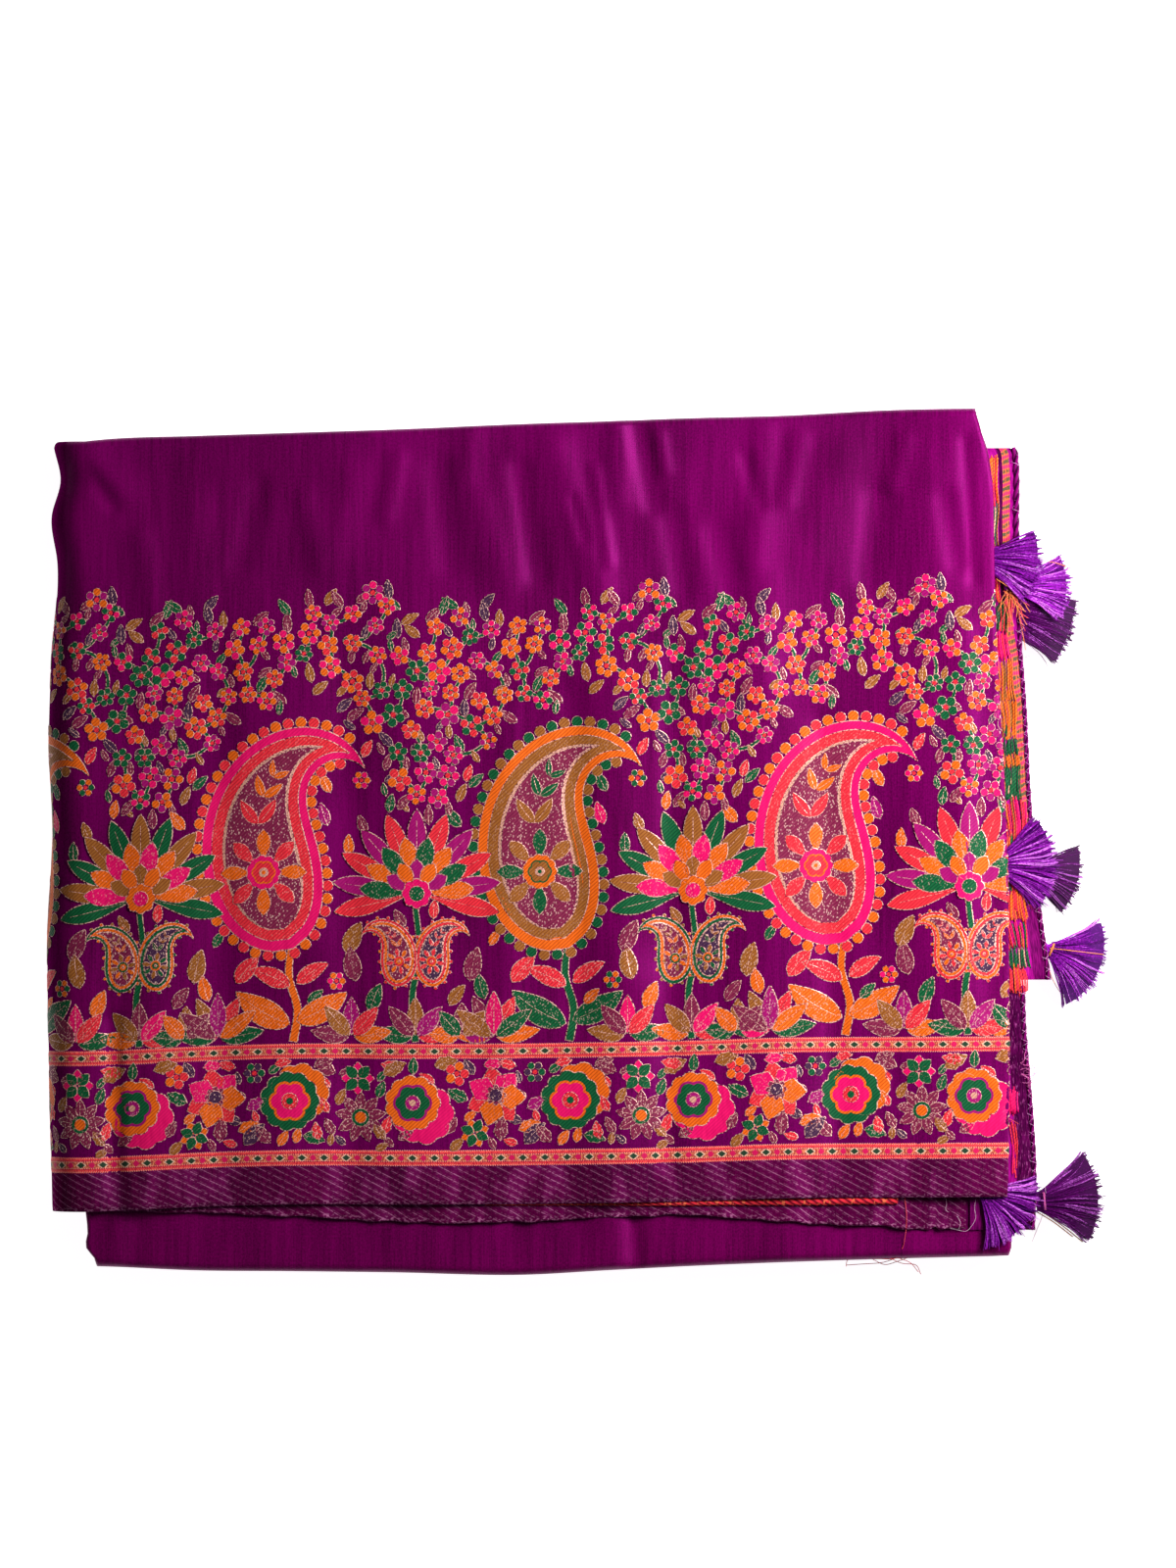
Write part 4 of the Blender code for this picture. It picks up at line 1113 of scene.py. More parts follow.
# %% The stack of fold edges
# Each fold has four levels of its profile. The stack's foot and height, and the x and y of its west side
FOLDS, LEVELS = 20, 4
STACK_FOOT, STACK_HEIGHT = 1.55, 15.2
STACK_WEST = np.array([
    (-170.6, 130), (-170.6, 112), (-170.6, 56), (-170.6, 0), (-170.6, -56), (-170.6, -108), (-170.2, -120),
    (-169.6, -126), (-168.4, -133), (-167.8, -139)])


def drift(along, seed):
    """0.7 times three slow sines of the running length, with phases from the seed."""
    phases = np.random.default_rng(seed).uniform(0, 2 * math.pi, 3)
    return 0.7 * sum(share * np.sin(along / size + phase)
                     for size, phase, share in zip((23, 61, 140), phases, (0.3, 0.6, 0.8)))


def valleys(step):
    """1 between two folds and 0 on a fold's ridge."""
    return 0.5 + 0.5 * np.cos(2 * math.pi * step / LEVELS)


def stack_outline():
    """Points round the hidden layers, anticlockwise from the south-west corner, about 3 mm apart."""
    x = np.linspace(-166.0, 148.3, 60)
    south = np.stack([x, lower_fold_y(x) + 0.6], axis=1)
    share = np.linspace(0.03, 0.97, 40)
    low, high = lower_fold_y(0.0) + 8, top_fold_y(0.0) - 4
    east = np.stack([lower_east_x(share) - 0.6, low + share * (high - low)], axis=1)
    x = np.linspace(136.0, -170.4, 60)
    north = np.stack([x, top_fold_y(x) - 0.6], axis=1)
    return respaced(np.concatenate([south, east, north, STACK_WEST]), 3.0, True)


def fold_stack():
    """The outline at each level, drawn in by the ridge's valley and its drift, less at the hidden west.

    The lowest ring goes on to the middle, so the stack is closed below.
    """
    ring = stack_outline()
    along = running_length(ring)
    step = np.arange(FOLDS * LEVELS + 1)
    fold = np.minimum(step // LEVELS, FOLDS - 1)
    drifts = np.array([drift(along, 100 + k) for k in range(FOLDS)])[fold]
    level = step / step[-1]
    ends = 3.0 * np.exp(-(step / 3.0) ** 2) + 3.6 * np.exp(-((step[-1] - step) / 5.0) ** 2)
    open_side = 1.05 * valleys(step)[:, None] ** 1.5 + np.clip(drifts, -0.5, 1.3) + ends[:, None]
    inset = open_side * (1 - 0.8 * ease((-150 - ring[:, 0]) / 20))
    wave = 0.16 * np.sin(along / 31 + 1.7) * np.sin(math.pi * level)[:, None]
    z = STACK_FOOT + STACK_HEIGHT * level[:, None] + wave
    grid = np.concatenate([ring - outward(ring) * inset[..., None], z[..., None]], axis=2)
    middle = grid.mean(axis=1, keepdims=True)
    foot, low, top = ((middle[k] + (grid[k] - middle[k]) * (size, size, 1.0))[None]
                      for k, size in ((0, 0.01), (0, 0.93), (-1, 0.93)))
    return np.concatenate([foot, low, grid, top]), along


def edge_silk():
    """Silk seen at its fold edges: purple, with painted shade in the valleys between the folds, and short dyed
    runs beside the border.
    """
    r = Recipe("silk_edges")
    where, _, _ = r.cloth()
    shade = r.stretched_noise(where, 60.0, 1800.0, 3.0)
    cells = r.node("Mapping", Vector=where, Scale=(130.0, 1950.0, 1.0))
    runs = r.node("TexVoronoi", 1, Vector=cells, Scale=1.0)
    parts = r.tree.nodes.new("ShaderNodeSeparateColor")
    r.feed(parts.inputs[0], runs)
    colour = r.mix(r.above(shade, 0.45, 0.4), srgb(96, 2, 76), srgb(148, 14, 124))
    dyed = r.mix(r.above(parts.outputs[1], 0.5, 0.02), srgb(196, 30, 78), srgb(196, 96, 40))
    dyed = r.mix(r.above(parts.outputs[1], 0.78, 0.02), dyed, srgb(16, 84, 54))
    some = r.times(r.above(parts.outputs[0], 0.72, 0.02), r.mark("border"))
    colour = r.mix(r.times(some, 0.7), colour, dyed)
    # Painted shade in the valleys between the folds.
    colour = r.mix(r.times(r.mark("valley"), 0.7), colour, srgb(40, 0, 36))
    return r.finish(Base_Color=colour, Roughness=0.45, Sheen_Weight=0.1, Sheen_Tint=SHEEN,
                    Specular_IOR_Level=0.5, Specular_Tint=GLEAM, Normal=r.bump(shade, 0.0001, 0.6))


# %% [markdown]
# The layers inside the west turn go round with it, one within the other like the rings
# of a tree. They show only where the turn opens at its two ends, so each is a band of
# cloth laid at its own depth by the same function, with a small round fold at each end.

# %% Layers nested in the west turn
END_RADIUS = 0.42
NESTED, FIRST_DEPTH, DEPTH_STEP = 10, 2.3, 0.85


def nested_turn(k):
    """A band round the turn, deeper under the outer cloth for a higher k, with a round fold at both ends."""
    depth = FIRST_DEPTH + DEPTH_STEP * k
    a = np.radians([180, 180, 140, 100, 60, 25])[:, None]
    bend, more = END_RADIUS * np.sin(a), depth + END_RADIUS * (1 - np.cos(a))
    share = np.linspace(0, 1, 40)[:, None]
    go = np.linspace(2.2, -TURN_LENGTH - 2.2, 30)
    top = cloth_height(WEST_LINE) + 0.9 + 0.35 * np.sin(2.4 * k) + 0.2 * np.sin(go / 7 + k)
    base = 1.6 + 0.5 * np.sin(1.7 * k + 1) + 0.25 * np.sin(go / 6 + 2 * k)
    v = np.concatenate([base - bend, base + (top - base) * share, top + bend[::-1]])
    v[0], v[-1] = v[0] + 3.0, v[-1] - 3.0
    lift = -np.concatenate([more, np.full(share.shape, depth), more[::-1]])
    u = turn_start(np.clip(v, 0, top)) + go
    return cloth_point(u, v, lift), np.stack(np.broadcast_arrays(u, v + 400), axis=-1)


turns = [nested_turn(k) for k in range(NESTED)]
stack, running = fold_stack()
# Two lids lie below the profile, so its first ring is row 1
rows = np.arange(len(stack))[:, None] - 1
stack_uv = np.stack(np.broadcast_arrays(running, rows * STACK_HEIGHT / len(rows)), axis=-1)
valley_shade_mark = np.broadcast_to(valleys(rows - 1), stack.shape[:2])
border_mark = ease((96 - stack[..., 1]) / 12) * ease((stack[..., 1] + 118) / 12)
points, faces = joined([grid for grid, _ in turns])
plain = np.zeros(len(points))
fold_edges = new_piece(
    "fold_edges", np.concatenate([stack.reshape(-1, 3), points]),
    np.concatenate([grid_faces(len(stack), len(running), True), faces + stack[..., 0].size]),
    np.concatenate([stack_uv.reshape(-1, 2), *[uv.reshape(-1, 2) for _, uv in turns]]),
    [edge_silk()],
    marks={"valley": np.concatenate([valley_shade_mark.ravel(), plain]),
           "border": np.concatenate([border_mark.ravel(), plain])})
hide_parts("inner_layers")

# %% [markdown]
# ### The plain fold below
#
# This fold lies on the stack and stands out 16 to 20 mm below the front. Its lower side
# turns down in a soft round fold and its corners are rounded. A few creases run down it.

# %% The lower fold
LOWER_CREASES = np.array([
    (18, -112, 20, -150, 2.4, -1.5), (9, -112, 12, -150, 7, 1.0), (-60, -118, -66, -150, 7, 0.35),
    (-150, -118, -154, -150, 3.5, -0.5), (70, -118, 73, -150, 9, 0.4), (118, -118, 112, -150, 8, 0.35),
    (-20, -120, -22, -150, 6, -0.3), (-160, -120, -158, -150, 4, 0.5)])
# Radius of the round fold at the lower side and of the turned-down sides at the west and the east
FOLD_RADIUS, SIDE_RADIUS = 3.0, 1.3
# Shares of the way up at which the ledge has its rows, close together where it shows
LEDGE_ROWS = (0, 0.005, 0.012, 0.02, 0.03, 0.042, 0.055, 0.07, 0.09, 0.12, 0.17, *np.linspace(0.24, 1, 16))


def lower_fold_grid():
    """Rows from the turned-down lower side to under the top fold. Both side edges turn down as well."""
    down = np.radians(np.linspace(100, 0, 11)[:-1])
    share = np.concatenate([np.zeros(10), LEDGE_ROWS])[:, None]
    angle = np.concatenate([down, np.zeros(len(LEDGE_ROWS))])[:, None]
    side = np.radians(np.linspace(95, 0, 7)[:-1])
    across = np.concatenate([np.zeros(6), np.linspace(0, 1, 150), np.ones(6)])
    tilt = np.concatenate([side, np.zeros(150), side[::-1]])
    sign = np.sign(across - 0.5)
    west, east = lower_west_x(share) + SIDE_RADIUS, lower_east_x(share) - SIDE_RADIUS
    corner = 0.9 * (1 - ease(share / 0.05)) * (np.abs(across - 0.5) * 2) ** 30
    x = west + (east - west) * across + sign * SIDE_RADIUS * np.sin(tilt) - sign * corner * (1 + np.sin(angle))
    south = lower_fold_y(x) + FOLD_RADIUS
    y = south + (top_fold_y(x) - 3.45 - south) * share - FOLD_RADIUS * np.sin(angle)
    fine = ridges(LOWER_CREASES, x, y) * np.cos(np.minimum(angle, math.pi / 2))
    drop = FOLD_RADIUS * (1 - np.cos(angle)) + SIDE_RADIUS * (1 - np.cos(tilt))
    z = stack_top(x, y) + SEAM + LOWER_WALL - drop + np.clip(fine, -1.3, 1.0)
    return np.stack([x, y, z], axis=-1)


ledge = lower_fold_grid()
lower_cloth = grid_piece("lower_fold_cloth", ledge, ledge[..., :2] + (0, 500.0), plain_silk, "silk_field")
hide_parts("lower_fold")

# %% [markdown]
# ### The second selvedge and the rolled stripe
#
# The layer behind the front one shows its own selvedge as a strip, a little ragged, with
# the same silver lines. Between the two, its coral guard stripe has rolled up and peeps
# out as a twisted line.

# %% Second selvedge and coral roll
# Rows of the strip: below 0 they turn down at the cut side, above 0 they are shares of the way to the tuck
STRIP_ROWS = np.array([-0.9, -0.55, -0.2, 0.0, 0.03, 0.08, 0.14, 0.2, 0.3, 0.42, 0.56, 0.72, 0.86, 1.0])


def second_selvedge_grid():
    """A strip from its wavy lower edge to where it is tucked in, with its cut side turned down."""
    x = np.linspace(-166.0, 133.4, 260)
    share, down = np.maximum(STRIP_ROWS, 0)[:, None], np.minimum(STRIP_ROWS, 0)[:, None]
    ragged = 0.3 * np.sin(x / 3.1) * np.sin(x / 7.7 + 1) + 0.15 * np.sin(x / 1.7 + 2) + 0.4 * np.sin(x / 19.0)
    ragged = ragged - 1.1 * ease((x - 104) / 12) + 1.5 * np.exp(-((x - 122.6) / 1.1) ** 2)
    south = second_selvedge_y(x) + 0.3 + ragged
    y = south + (TUCK_Y - south) * share + 0.2 * down
    ripple = 0.30 * np.sin(x / 3.4 + 0.6 + 1.5 * np.sin(x / 17)) * np.exp(-share * 8)
    ripple = ripple + 0.12 * np.sin(x / 1.6) * np.exp(-share * 14)
    z = level_two(x, y) + LOOSE_WALL + down + ripple
    uv = np.stack(np.broadcast_arrays(x, share * 24), axis=-1)
    return np.stack(np.broadcast_arrays(x, y, z), axis=-1), uv


second_strip = grid_piece("second_selvedge_cloth", *second_selvedge_grid(), field_silk, "silk_selvedge")
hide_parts("second_selvedge")


def tube(line, radius, sides, lobes=0, depth=0.0, twist=0.0, flat=1.0):
    """The line plus radius * (1 + depth * cos(lobes * angle + twist * length)) sideways and, times flat, up."""
    ahead = np.gradient(line, axis=0)
    ahead /= np.linalg.norm(ahead, axis=1)[:, None]
    sideways = np.cross(ahead, (0, 0, 1.0)) + 1e-9
    sideways /= np.linalg.norm(sideways, axis=1)[:, None]
    up = np.cross(sideways, ahead)
    run = running_length(line)[:, None]
    angle = np.linspace(0, 2 * math.pi, sides + 1)
    reach = np.broadcast_to(radius, len(line))[:, None] * (1 + depth * np.cos(lobes * angle + twist * run))
    grid = line[:, None] + sideways[:, None] * (reach * np.cos(angle))[..., None]
    grid = grid + up[:, None] * (flat * reach * np.sin(angle))[..., None]
    return grid, np.stack(np.broadcast_arrays(run, angle), axis=-1)


def yarn(name, dark, light, turns_per_mm, glint_colour=None, lobes=2):
    """Twisted yarn: stripes slant round it, by u along and v, the angle, around, one for each lobe. The light
    stripes are painted highlight on the plies, the dark ones painted shade between them.
    """
    r = Recipe(name)
    where, u, v = r.cloth()
    slant = r.plus(r.times(u, 1000 * turns_per_mm), r.times(v, 500 * lobes / math.pi))
    turn = r.zigzag(slant, 1)
    noise = r.stretched_noise(where, 900.0, 300.0, 2.0)
    colour = r.mix(r.above(turn, 0.2, 0.2), dark, light)
    if glint_colour:
        # A third colour in random spots: painted glints.
        colour = r.mix(r.above(noise, 0.60, 0.05), colour, glint_colour)
    height = r.plus(turn, r.times(noise, 0.3))
    return r.finish(Base_Color=colour, Roughness=0.45, Specular_IOR_Level=0.3, Specular_Tint=light,
                    Normal=r.bump(height, 0.0003, 0.7))


def roll_line():
    """The rolled stripe's middle line and its width at each place."""
    x = np.linspace(ROLL_WEST, ROLL_EAST, 300)
    width = np.interp(x, [-32, -20, 10, 40, 80, 110], [0.4, 0.8, 1.0, 1.6, 2.3, 2.1])
    out = np.interp(x, [-32, 10, 40, 80, 110], [0.1, 0.3, 0.8, 1.25, 1.2]) + 0.12 * np.sin(x / 9)
    z = level_two(x, selvedge_y(x)) + LOOSE_WALL + 0.28 + 0.25 * width
    return np.stack([x, selvedge_y(x) - out, z], axis=1), width


line, width = roll_line()
roll, roll_uv = tube(line, width / 2, 12, 3, 0.2, 2.2, 0.55)
# Dark maroon grooves and coral crests turn with the tube's lobes: painted shade and painted highlight, with
# painted glints.
coral_yarn = yarn("coral_yarn", srgb(104, 8, 34), srgb(218, 48, 62), 0.35, srgb(222, 104, 72), 3)
coral_roll = grid_piece("coral_twist", roll, roll_uv, coral_yarn, "silk_coral")
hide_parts("coral_roll")
# %% [markdown]
# ## The tasselled end
#
# The loose end comes out at the right in two stretches, wrong side up. On the wrong side
# of such a weave the coloured weft floats loose between the motifs, in long threads that
# lie side by side. Near the free edge come a twisted coral and green stripe and a plain
# magenta one, and the edge itself is whipped with dark thread.

# %% Ground of the two stretches
# y and x of the free edge
UPPER_EDGE = np.array([
    (135.6, 148.4), (134.0, 149.2), (131.0, 149.5), (108, 149.7), (70, 151.2), (54, 152.6), (15, 154.7),
    (-24, 157.8), (-47.5, 161.0)])
LOWER_EDGE = np.array([
    (-49.5, 151.9), (-65, 152.5), (-81, 153.8), (-96, 155.0), (-112, 155.9), (-133.6, 155.4)])
# x of the tuck, and how far the cloth goes on past the free edge's line
END_TUCK, END_OVER = 134.95, 0.35


def free_edge(table):
    """x of the free edge as a function of y."""
    return curves(table[np.argsort(table[:, 0])])[0]


def end_top(x, y):
    """Face of the loose end: on the lower fold, with a droop of 1.6 once it is past the stack."""
    return level_two(x, y) + LOOSE_WALL - 1.6 * ease((x - 152.0) / 8)


def end_sheet(table, north):
    """Rows along Y by columns from the tuck to the free edge, with distance from that edge and y as its map.

    The cut sides turn down. The north one goes on by north mm.
    """
    low, high = table[:, 0].min(), table[:, 0].max() + north
    y = np.linspace(low, high, round((high - low) / 1.1))[:, None]
    edge = free_edge(table)(np.minimum(y, high - north))
    x = END_TUCK + (edge + END_OVER - END_TUCK) * np.linspace(0, 1, 26)
    gone = edge - x
    ripple = 0.12 * np.sin(y / 3.7 + x / 5.0) + 0.10 * np.sin(y / 8.9 + 2.0)
    z = end_top(x, y) - 0.25 + ripple * ease(gone / 2.0)
    z = z - 0.5 * ease(1 - (y - low) / 1.5) - (0.5 + 0.15 * north) * ease(1 - (high - y) / (1.5 + north))
    return np.stack(np.broadcast_arrays(x, y, z), axis=-1), np.stack(np.broadcast_arrays(gone, y), axis=-1)


def striped_end(r, where, gone, y, noise, ground, plum):
    """Beside the free edge, rows of coral and orange with green dashes, then a dark gap.

    South of y = 68 mm they lie 1 mm nearer to the edge, and south of y = -23 mm all is dark there.
    """
    wander = r.times(r.stretched_noise(where, 300.0, 300.0, 1.0), 0.5)
    slant = r.math("FRACT", r.plus(r.plus(r.times(y, 1 / 0.0031), r.times(gone, 120.0)), wander))
    gone = r.plus(gone, r.times(r.below(y, 0.068, 0.010), 0.0010))
    rows = r.mix(r.band(slant, 0.0, 0.38, 0.12), srgb(232, 112, 52), srgb(228, 58, 98))
    dash = r.times(r.band(slant, 0.52, 0.92, 0.12), r.above(noise, 0.40, 0.14))
    rows = r.mix(dash, rows, srgb(66, 88, 44))
    rows = r.mix(r.times(r.above(r.zigzag(gone, 0.00075), 0.36, 0.1), 0.7), rows, srgb(110, 20, 40))
    striped_part = r.above(y, -0.0225, 0.0015)
    colour = r.mix(r.times(r.band(gone, 0.0012, 0.0037, 0.0002), striped_part), ground, rows)
    colour = r.mix(r.times(r.band(gone, 0.0037, 0.0050, 0.0002), striped_part), colour, plum)
    foot = r.times(r.below(y, -0.0230, 0.0015), r.below(gone, 0.0050, 0.0006))
    return r.mix(r.times(foot, 0.7), colour, plum)


def plain_end(r, where, gone, y, ground, plum):
    """Dark along the free edge and near the lower end, with pale picks in the edge."""
    edge = r.below(gone, 0.0050, 0.0004)
    foot = r.times(r.below(y, -0.1205, 0.0006), 0.6)
    colour = r.mix(r.math("MAXIMUM", edge, foot), ground, plum)
    pale = r.above(r.stretched_noise(where, 2600.0, 420.0, 2.0), 0.62, 0.04)
    return r.mix(r.times(r.times(pale, edge), 0.4), colour, srgb(186, 84, 160))


def reverse_silk(name, striped):
    """Wrong side of the silk: magenta with dark picks, and beside the free edge as its stretch asks."""
    r = Recipe(name)
    where, gone, y = r.cloth()
    noise = r.stretched_noise(where, 2200.0, 260.0, 3.0)
    ground = r.mix(r.above(noise, 0.48, 0.3), srgb(104, 2, 86), srgb(166, 14, 134))
    plum = r.mix(r.above(noise, 0.52, 0.2), srgb(34, 0, 28), srgb(78, 4, 62))
    if striped:
        colour = striped_end(r, where, gone, y, noise, ground, plum)
    else:
        colour = plain_end(r, where, gone, y, ground, plum)
    return r.finish(Base_Color=colour, Roughness=0.5, Specular_IOR_Level=0.25, Specular_Tint=GLEAM,
                    Normal=r.bump(noise, 0.0002, 0.7))


on_the_end = {"upper": [], "lower": []}
for place, table, north in (("upper", UPPER_EDGE, 0.0), ("lower", LOWER_EDGE, 3.4)):
    end_silk = reverse_silk(f"silk_reverse_{place}", place == "upper")
    piece = grid_piece(f"loose_end_{place}", *end_sheet(table, north), end_silk, "silk_reverse")
    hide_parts(f"pallu_{place}")

# %% [markdown]
# ### Floats
#
# The floats are modelled thread by thread: each is a thin arched ribbon along the edge.
# Runs of one colour sit together because a motif on the right side uses one dye there.

# %% Loose weft floats
# y from, y to, distance from the free edge from and to, and the dyes to choose from
UPPER_FLOATS = (
    (134.6, 117, 5.2, 12, ("orange", "orange", "coral")),
    (118, 103, 5.2, 12, ("green", "green", "olive", "cream")),
    (103, 84, 5.2, 12, ("coral", "pink", "orange")), (83, 74, 3.4, 12, ("green", "green", "coral")),
    (74, 64.5, 3.2, 12, ("pink", "pink", "coral")), (64.5, 50, 2.8, 13, ("olive", "orange", "olive", "orange")),
    (51, 37, 2.6, 13, ("orange", "orange", "olive", "orange")), (41, 38.5, 5.0, 8.0, ("green",)),
    (36.5, 31.5, 2.6, 14, ("green",)), (31.5, 27.5, 2.6, 14, ("orange", "orange", "olive")),
    (27.5, 16, 2.4, 10, ("green",)), (23.5, 21.5, 4.8, 7.6, ("cream", "green")),
    (20.5, 18.0, 4.2, 7.2, ("green", "cream")), (22, 15, 7.6, 11, ("orange",)),
    (15.6, 1, 4.8, 10, ("orange", "olive", "coral", "mauve")), (16.0, 2, 1.0, 4.8, ("pink", "pink", "coral")),
    (3, -16, 4.0, 17, ("orange", "green", "coral")), (-16, -26, 3.4, 19, ("orange", "orange", "coral")),
    (-26, -35, 4.6, 19, ("green", "pink", "coral", "orange")),
    (-35, -41.6, 4.8, 19, ("green", "green", "green", "cream")),
    (-41.6, -50.6, 6.6, 19, ("coral", "coral", "coral", "orange")))
LOWER_FLOATS = (
    (-96, -113.4, 5.0, 6.4, ("coral", "coral", "pink")), (-52, -90, 7.6, 12, ("magenta", "coral")),
    (-84, -92, 3.0, 7.0, ("pink", "magenta")))
FLOAT_APART = 0.40
# Sideways and up from a float's middle line to its two edges and the line itself
FLOAT_SECTION = np.array([(-0.20, 0, -0.14), (0, 0, 0), (0.20, 0, -0.14)])


def floats(table, seed, bands):
    """Arched threads side by side in each band, and the number of each one's dye."""
    rng = np.random.default_rng(seed)
    edge = free_edge(table)
    t = np.linspace(0, 1, 9)
    grids, picks = [], []
    for y_from, y_to, gone_from, gone_to, dyes in bands:
        for gone in np.arange(gone_from, gone_to, FLOAT_APART):
            y, end = y_from - rng.uniform(0, 3), rng.normal(0, 0.6, 2)
            while y > y_to:
                long = rng.uniform(6, 18)
                line_y = np.clip(y - long * t, y_to - 1.4 + end[0], y_from + 0.8 + end[1])
                away = gone + 0.30 * np.sin(line_y / 2.9 + 0.5 * gone) + rng.normal(0, 0.14)
                x = edge(line_y) - away
                z = end_top(x, line_y) - 0.18 + 0.34 * np.sin(math.pi * t) ** 0.5 + rng.uniform(-0.08, 0.42)
                grids.append(np.stack([x, line_y, z], axis=1)[:, None] + FLOAT_SECTION)
                picks.append(DYES.index(dyes[int(rng.integers(len(dyes)))]))
                y -= long * rng.uniform(0.95, 1.15)
    return grids, np.array(picks)


def float_piece(name, table, seed, bands):
    grids, picks = floats(table, seed, bands)
    points, faces = joined(grids)
    return new_piece(name, points, faces, points[:, :2], dye_silks, per_face(picks, grids))


upper_floats = float_piece("weft_floats_upper", UPPER_EDGE, 5, UPPER_FLOATS)
lower_floats = float_piece("weft_floats_lower", LOWER_EDGE, 8, LOWER_FLOATS)

# %% [markdown]
# ### The whipped edge
#
# Dark thread is worked over a core, so the edge is a little rope: a tube whose
# cross-section has three lobes that turn as they go, with a pale thread wound round it.

# %% Whipped cords
# Radius of the pale windings, then turns for each mm, where a minus sign winds the other way, and wobble
WINDING_RADIUS, WINDINGS = 0.90, ((0.31, 0.9), (-0.23, 0.5))


def edge_line(table):
    """The cord's line: 1.05 mm past the free edge, 0.45 where it has rolled under, and 0.6 below the face."""
    low, high = table[:, 0].min(), table[:, 0].max()
    y = np.linspace(low, high, round((high - low) / 0.7))
    x = free_edge(table)(y)
    out = 1.05 - 0.6 * ease((y + 30) / 20) * ease((76 - y) / 12)
    return np.stack([x + out, y, end_top(x, y) - 0.6], axis=1)


def wound(line, turns_per_mm, wobble):
    """A helix round a line, its angle even with the running length. Wobble makes some turns stand off."""
    run = running_length(line)
    at = np.arange(0, run[-1], 0.14 / abs(turns_per_mm) / (2 * math.pi) * 4)
    path = np.stack([np.interp(at, run, line[:, k]) for k in range(3)], axis=1)
    turn = at * turns_per_mm * 2 * math.pi
    off = WINDING_RADIUS * (1 + wobble * np.clip(np.sin(at / 3.1) + np.sin(at / 1.3 + 2) - 0.9, 0, 1))
    return path + off[:, None] * np.stack([np.cos(turn), 0 * turn, np.sin(turn)], axis=1)


def tubes_piece(name, tubes, material):
    """One piece from several tubes."""
    points, faces = joined([grid for grid, _ in tubes])
    flat = np.concatenate([uv.reshape(-1, 2) for _, uv in tubes])
    return new_piece(name, points, faces, flat, [material])


# The stripes turn with the cord's three lobes: painted highlight on the crests, painted shade in the grooves.
cord_yarn = yarn("whipped_yarn", srgb(34, 0, 30), srgb(112, 10, 92), 0.215, None, 3)
pale_thread = yarn("pale_thread", srgb(168, 70, 150), srgb(226, 164, 216), 2.0)
for place, table in (("upper", UPPER_EDGE), ("lower", LOWER_EDGE)):
    line = edge_line(table)
    radius = 0.86 + 0.24 * ease((line[:, 1] - 78) / 16)
    rope = tube(line, radius, 12, 3, 0.18, 1.35)
    cord = grid_piece(f"whipped_edge_{place}", *rope, cord_yarn, "whipped_edge")
    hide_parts(f"pallu_cord_{place}")
    windings = [tube(wound(line, rate, wobble), 0.09, 4) for rate, wobble in WINDINGS]
    on_the_end[place] += [cord, tubes_piece(f"pale_winding_{place}", windings, pale_thread)]

# %% [markdown]
# ## The tassels
#
# Eight tassels of violet thread are knotted into the edge. Each is a bound head and some
# four hundred threads that fan out. Some lie on the cloth; the others hang over the side
# and rest on the table. A thread is a thin tube along a curve that leaves the head,
# spreads by its own angle and falls to its own height.

# %% Threads of a tassel
# Name, then x, y, z of the head's front, angle, half-spread and reach, then the heights near it, in the middle
# and at the tip, half the width at the root, and the tone, where deep means the same violet thread in painted
# shade
TASSELS = (
    ("tassel_1", 137.6, 98.0, 21.70, -10, 31, 23.2, 21.25, 23.3, 22.9, 2.0, "light"),
    ("tassel_2", 149.8, 88.0, 21.62, -1, 31, 21.0, 21.3, 18.9, 15.0, 2.0, "light"),
    ("tassel_3", 149.0, 79.2, 19.30, -19, 18, 24.6, 18.1, 11.0, 0.9, 6.6, "deep"),
    ("tassel_4", 142.6, -7.8, 21.70, 2, 43, 23.6, 21.4, 20.95, 20.2, 2.0, "light"),
    ("tassel_5", 155.0, -9.2, 20.20, -15, 32, 20.6, 16.8, 9.0, 0.9, 3.0, "deep"),
    ("tassel_6", 162.2, -36.8, 17.40, -23, 48, 22.0, 14.5, 9.0, 0.9, 2.4, "light"),
    ("tassel_7", 139.2, -120.4, 21.50, -34, 48, 20.5, 21.2, 21.0, 20.4, 2.0, "light"),
    ("tassel_8", 157.8, -124.0, 17.20, 4, 38, 25.0, 13.8, 8.4, 0.9, 3.0, "deep"))
UPPER_TASSELS, THREADS, STRANDS, THREAD_RADIUS = 6, 414, 36, 0.13
# Place along a head, then its width and thickness there
KNOT = np.array([
    (-3.4, 0.5, 0.3), (-3.0, 1.9, 1.1), (-2.5, 2.6, 1.4), (-1.7, 2.5, 1.35), (-1.2, 2.0, 1.1), (-0.7, 2.1, 1.1),
    (0.0, 3.3, 1.35), (0.5, 3.6, 1.3)])


def turned(points, angle, at):
    """Points turned about Z by an angle in degrees, then shifted."""
    c, s = math.cos(math.radians(angle)), math.sin(math.radians(angle))
    return points @ np.array([(c, s, 0), (-s, c, 0), (0, 0, 1)]) + np.asarray(at)


def fall(t, heights):
    """Height above the head at a share t of the way: through near, middle and tip."""
    return np.interp(t, [0, 0.3, 0.65, 1.0], [0, *heights])


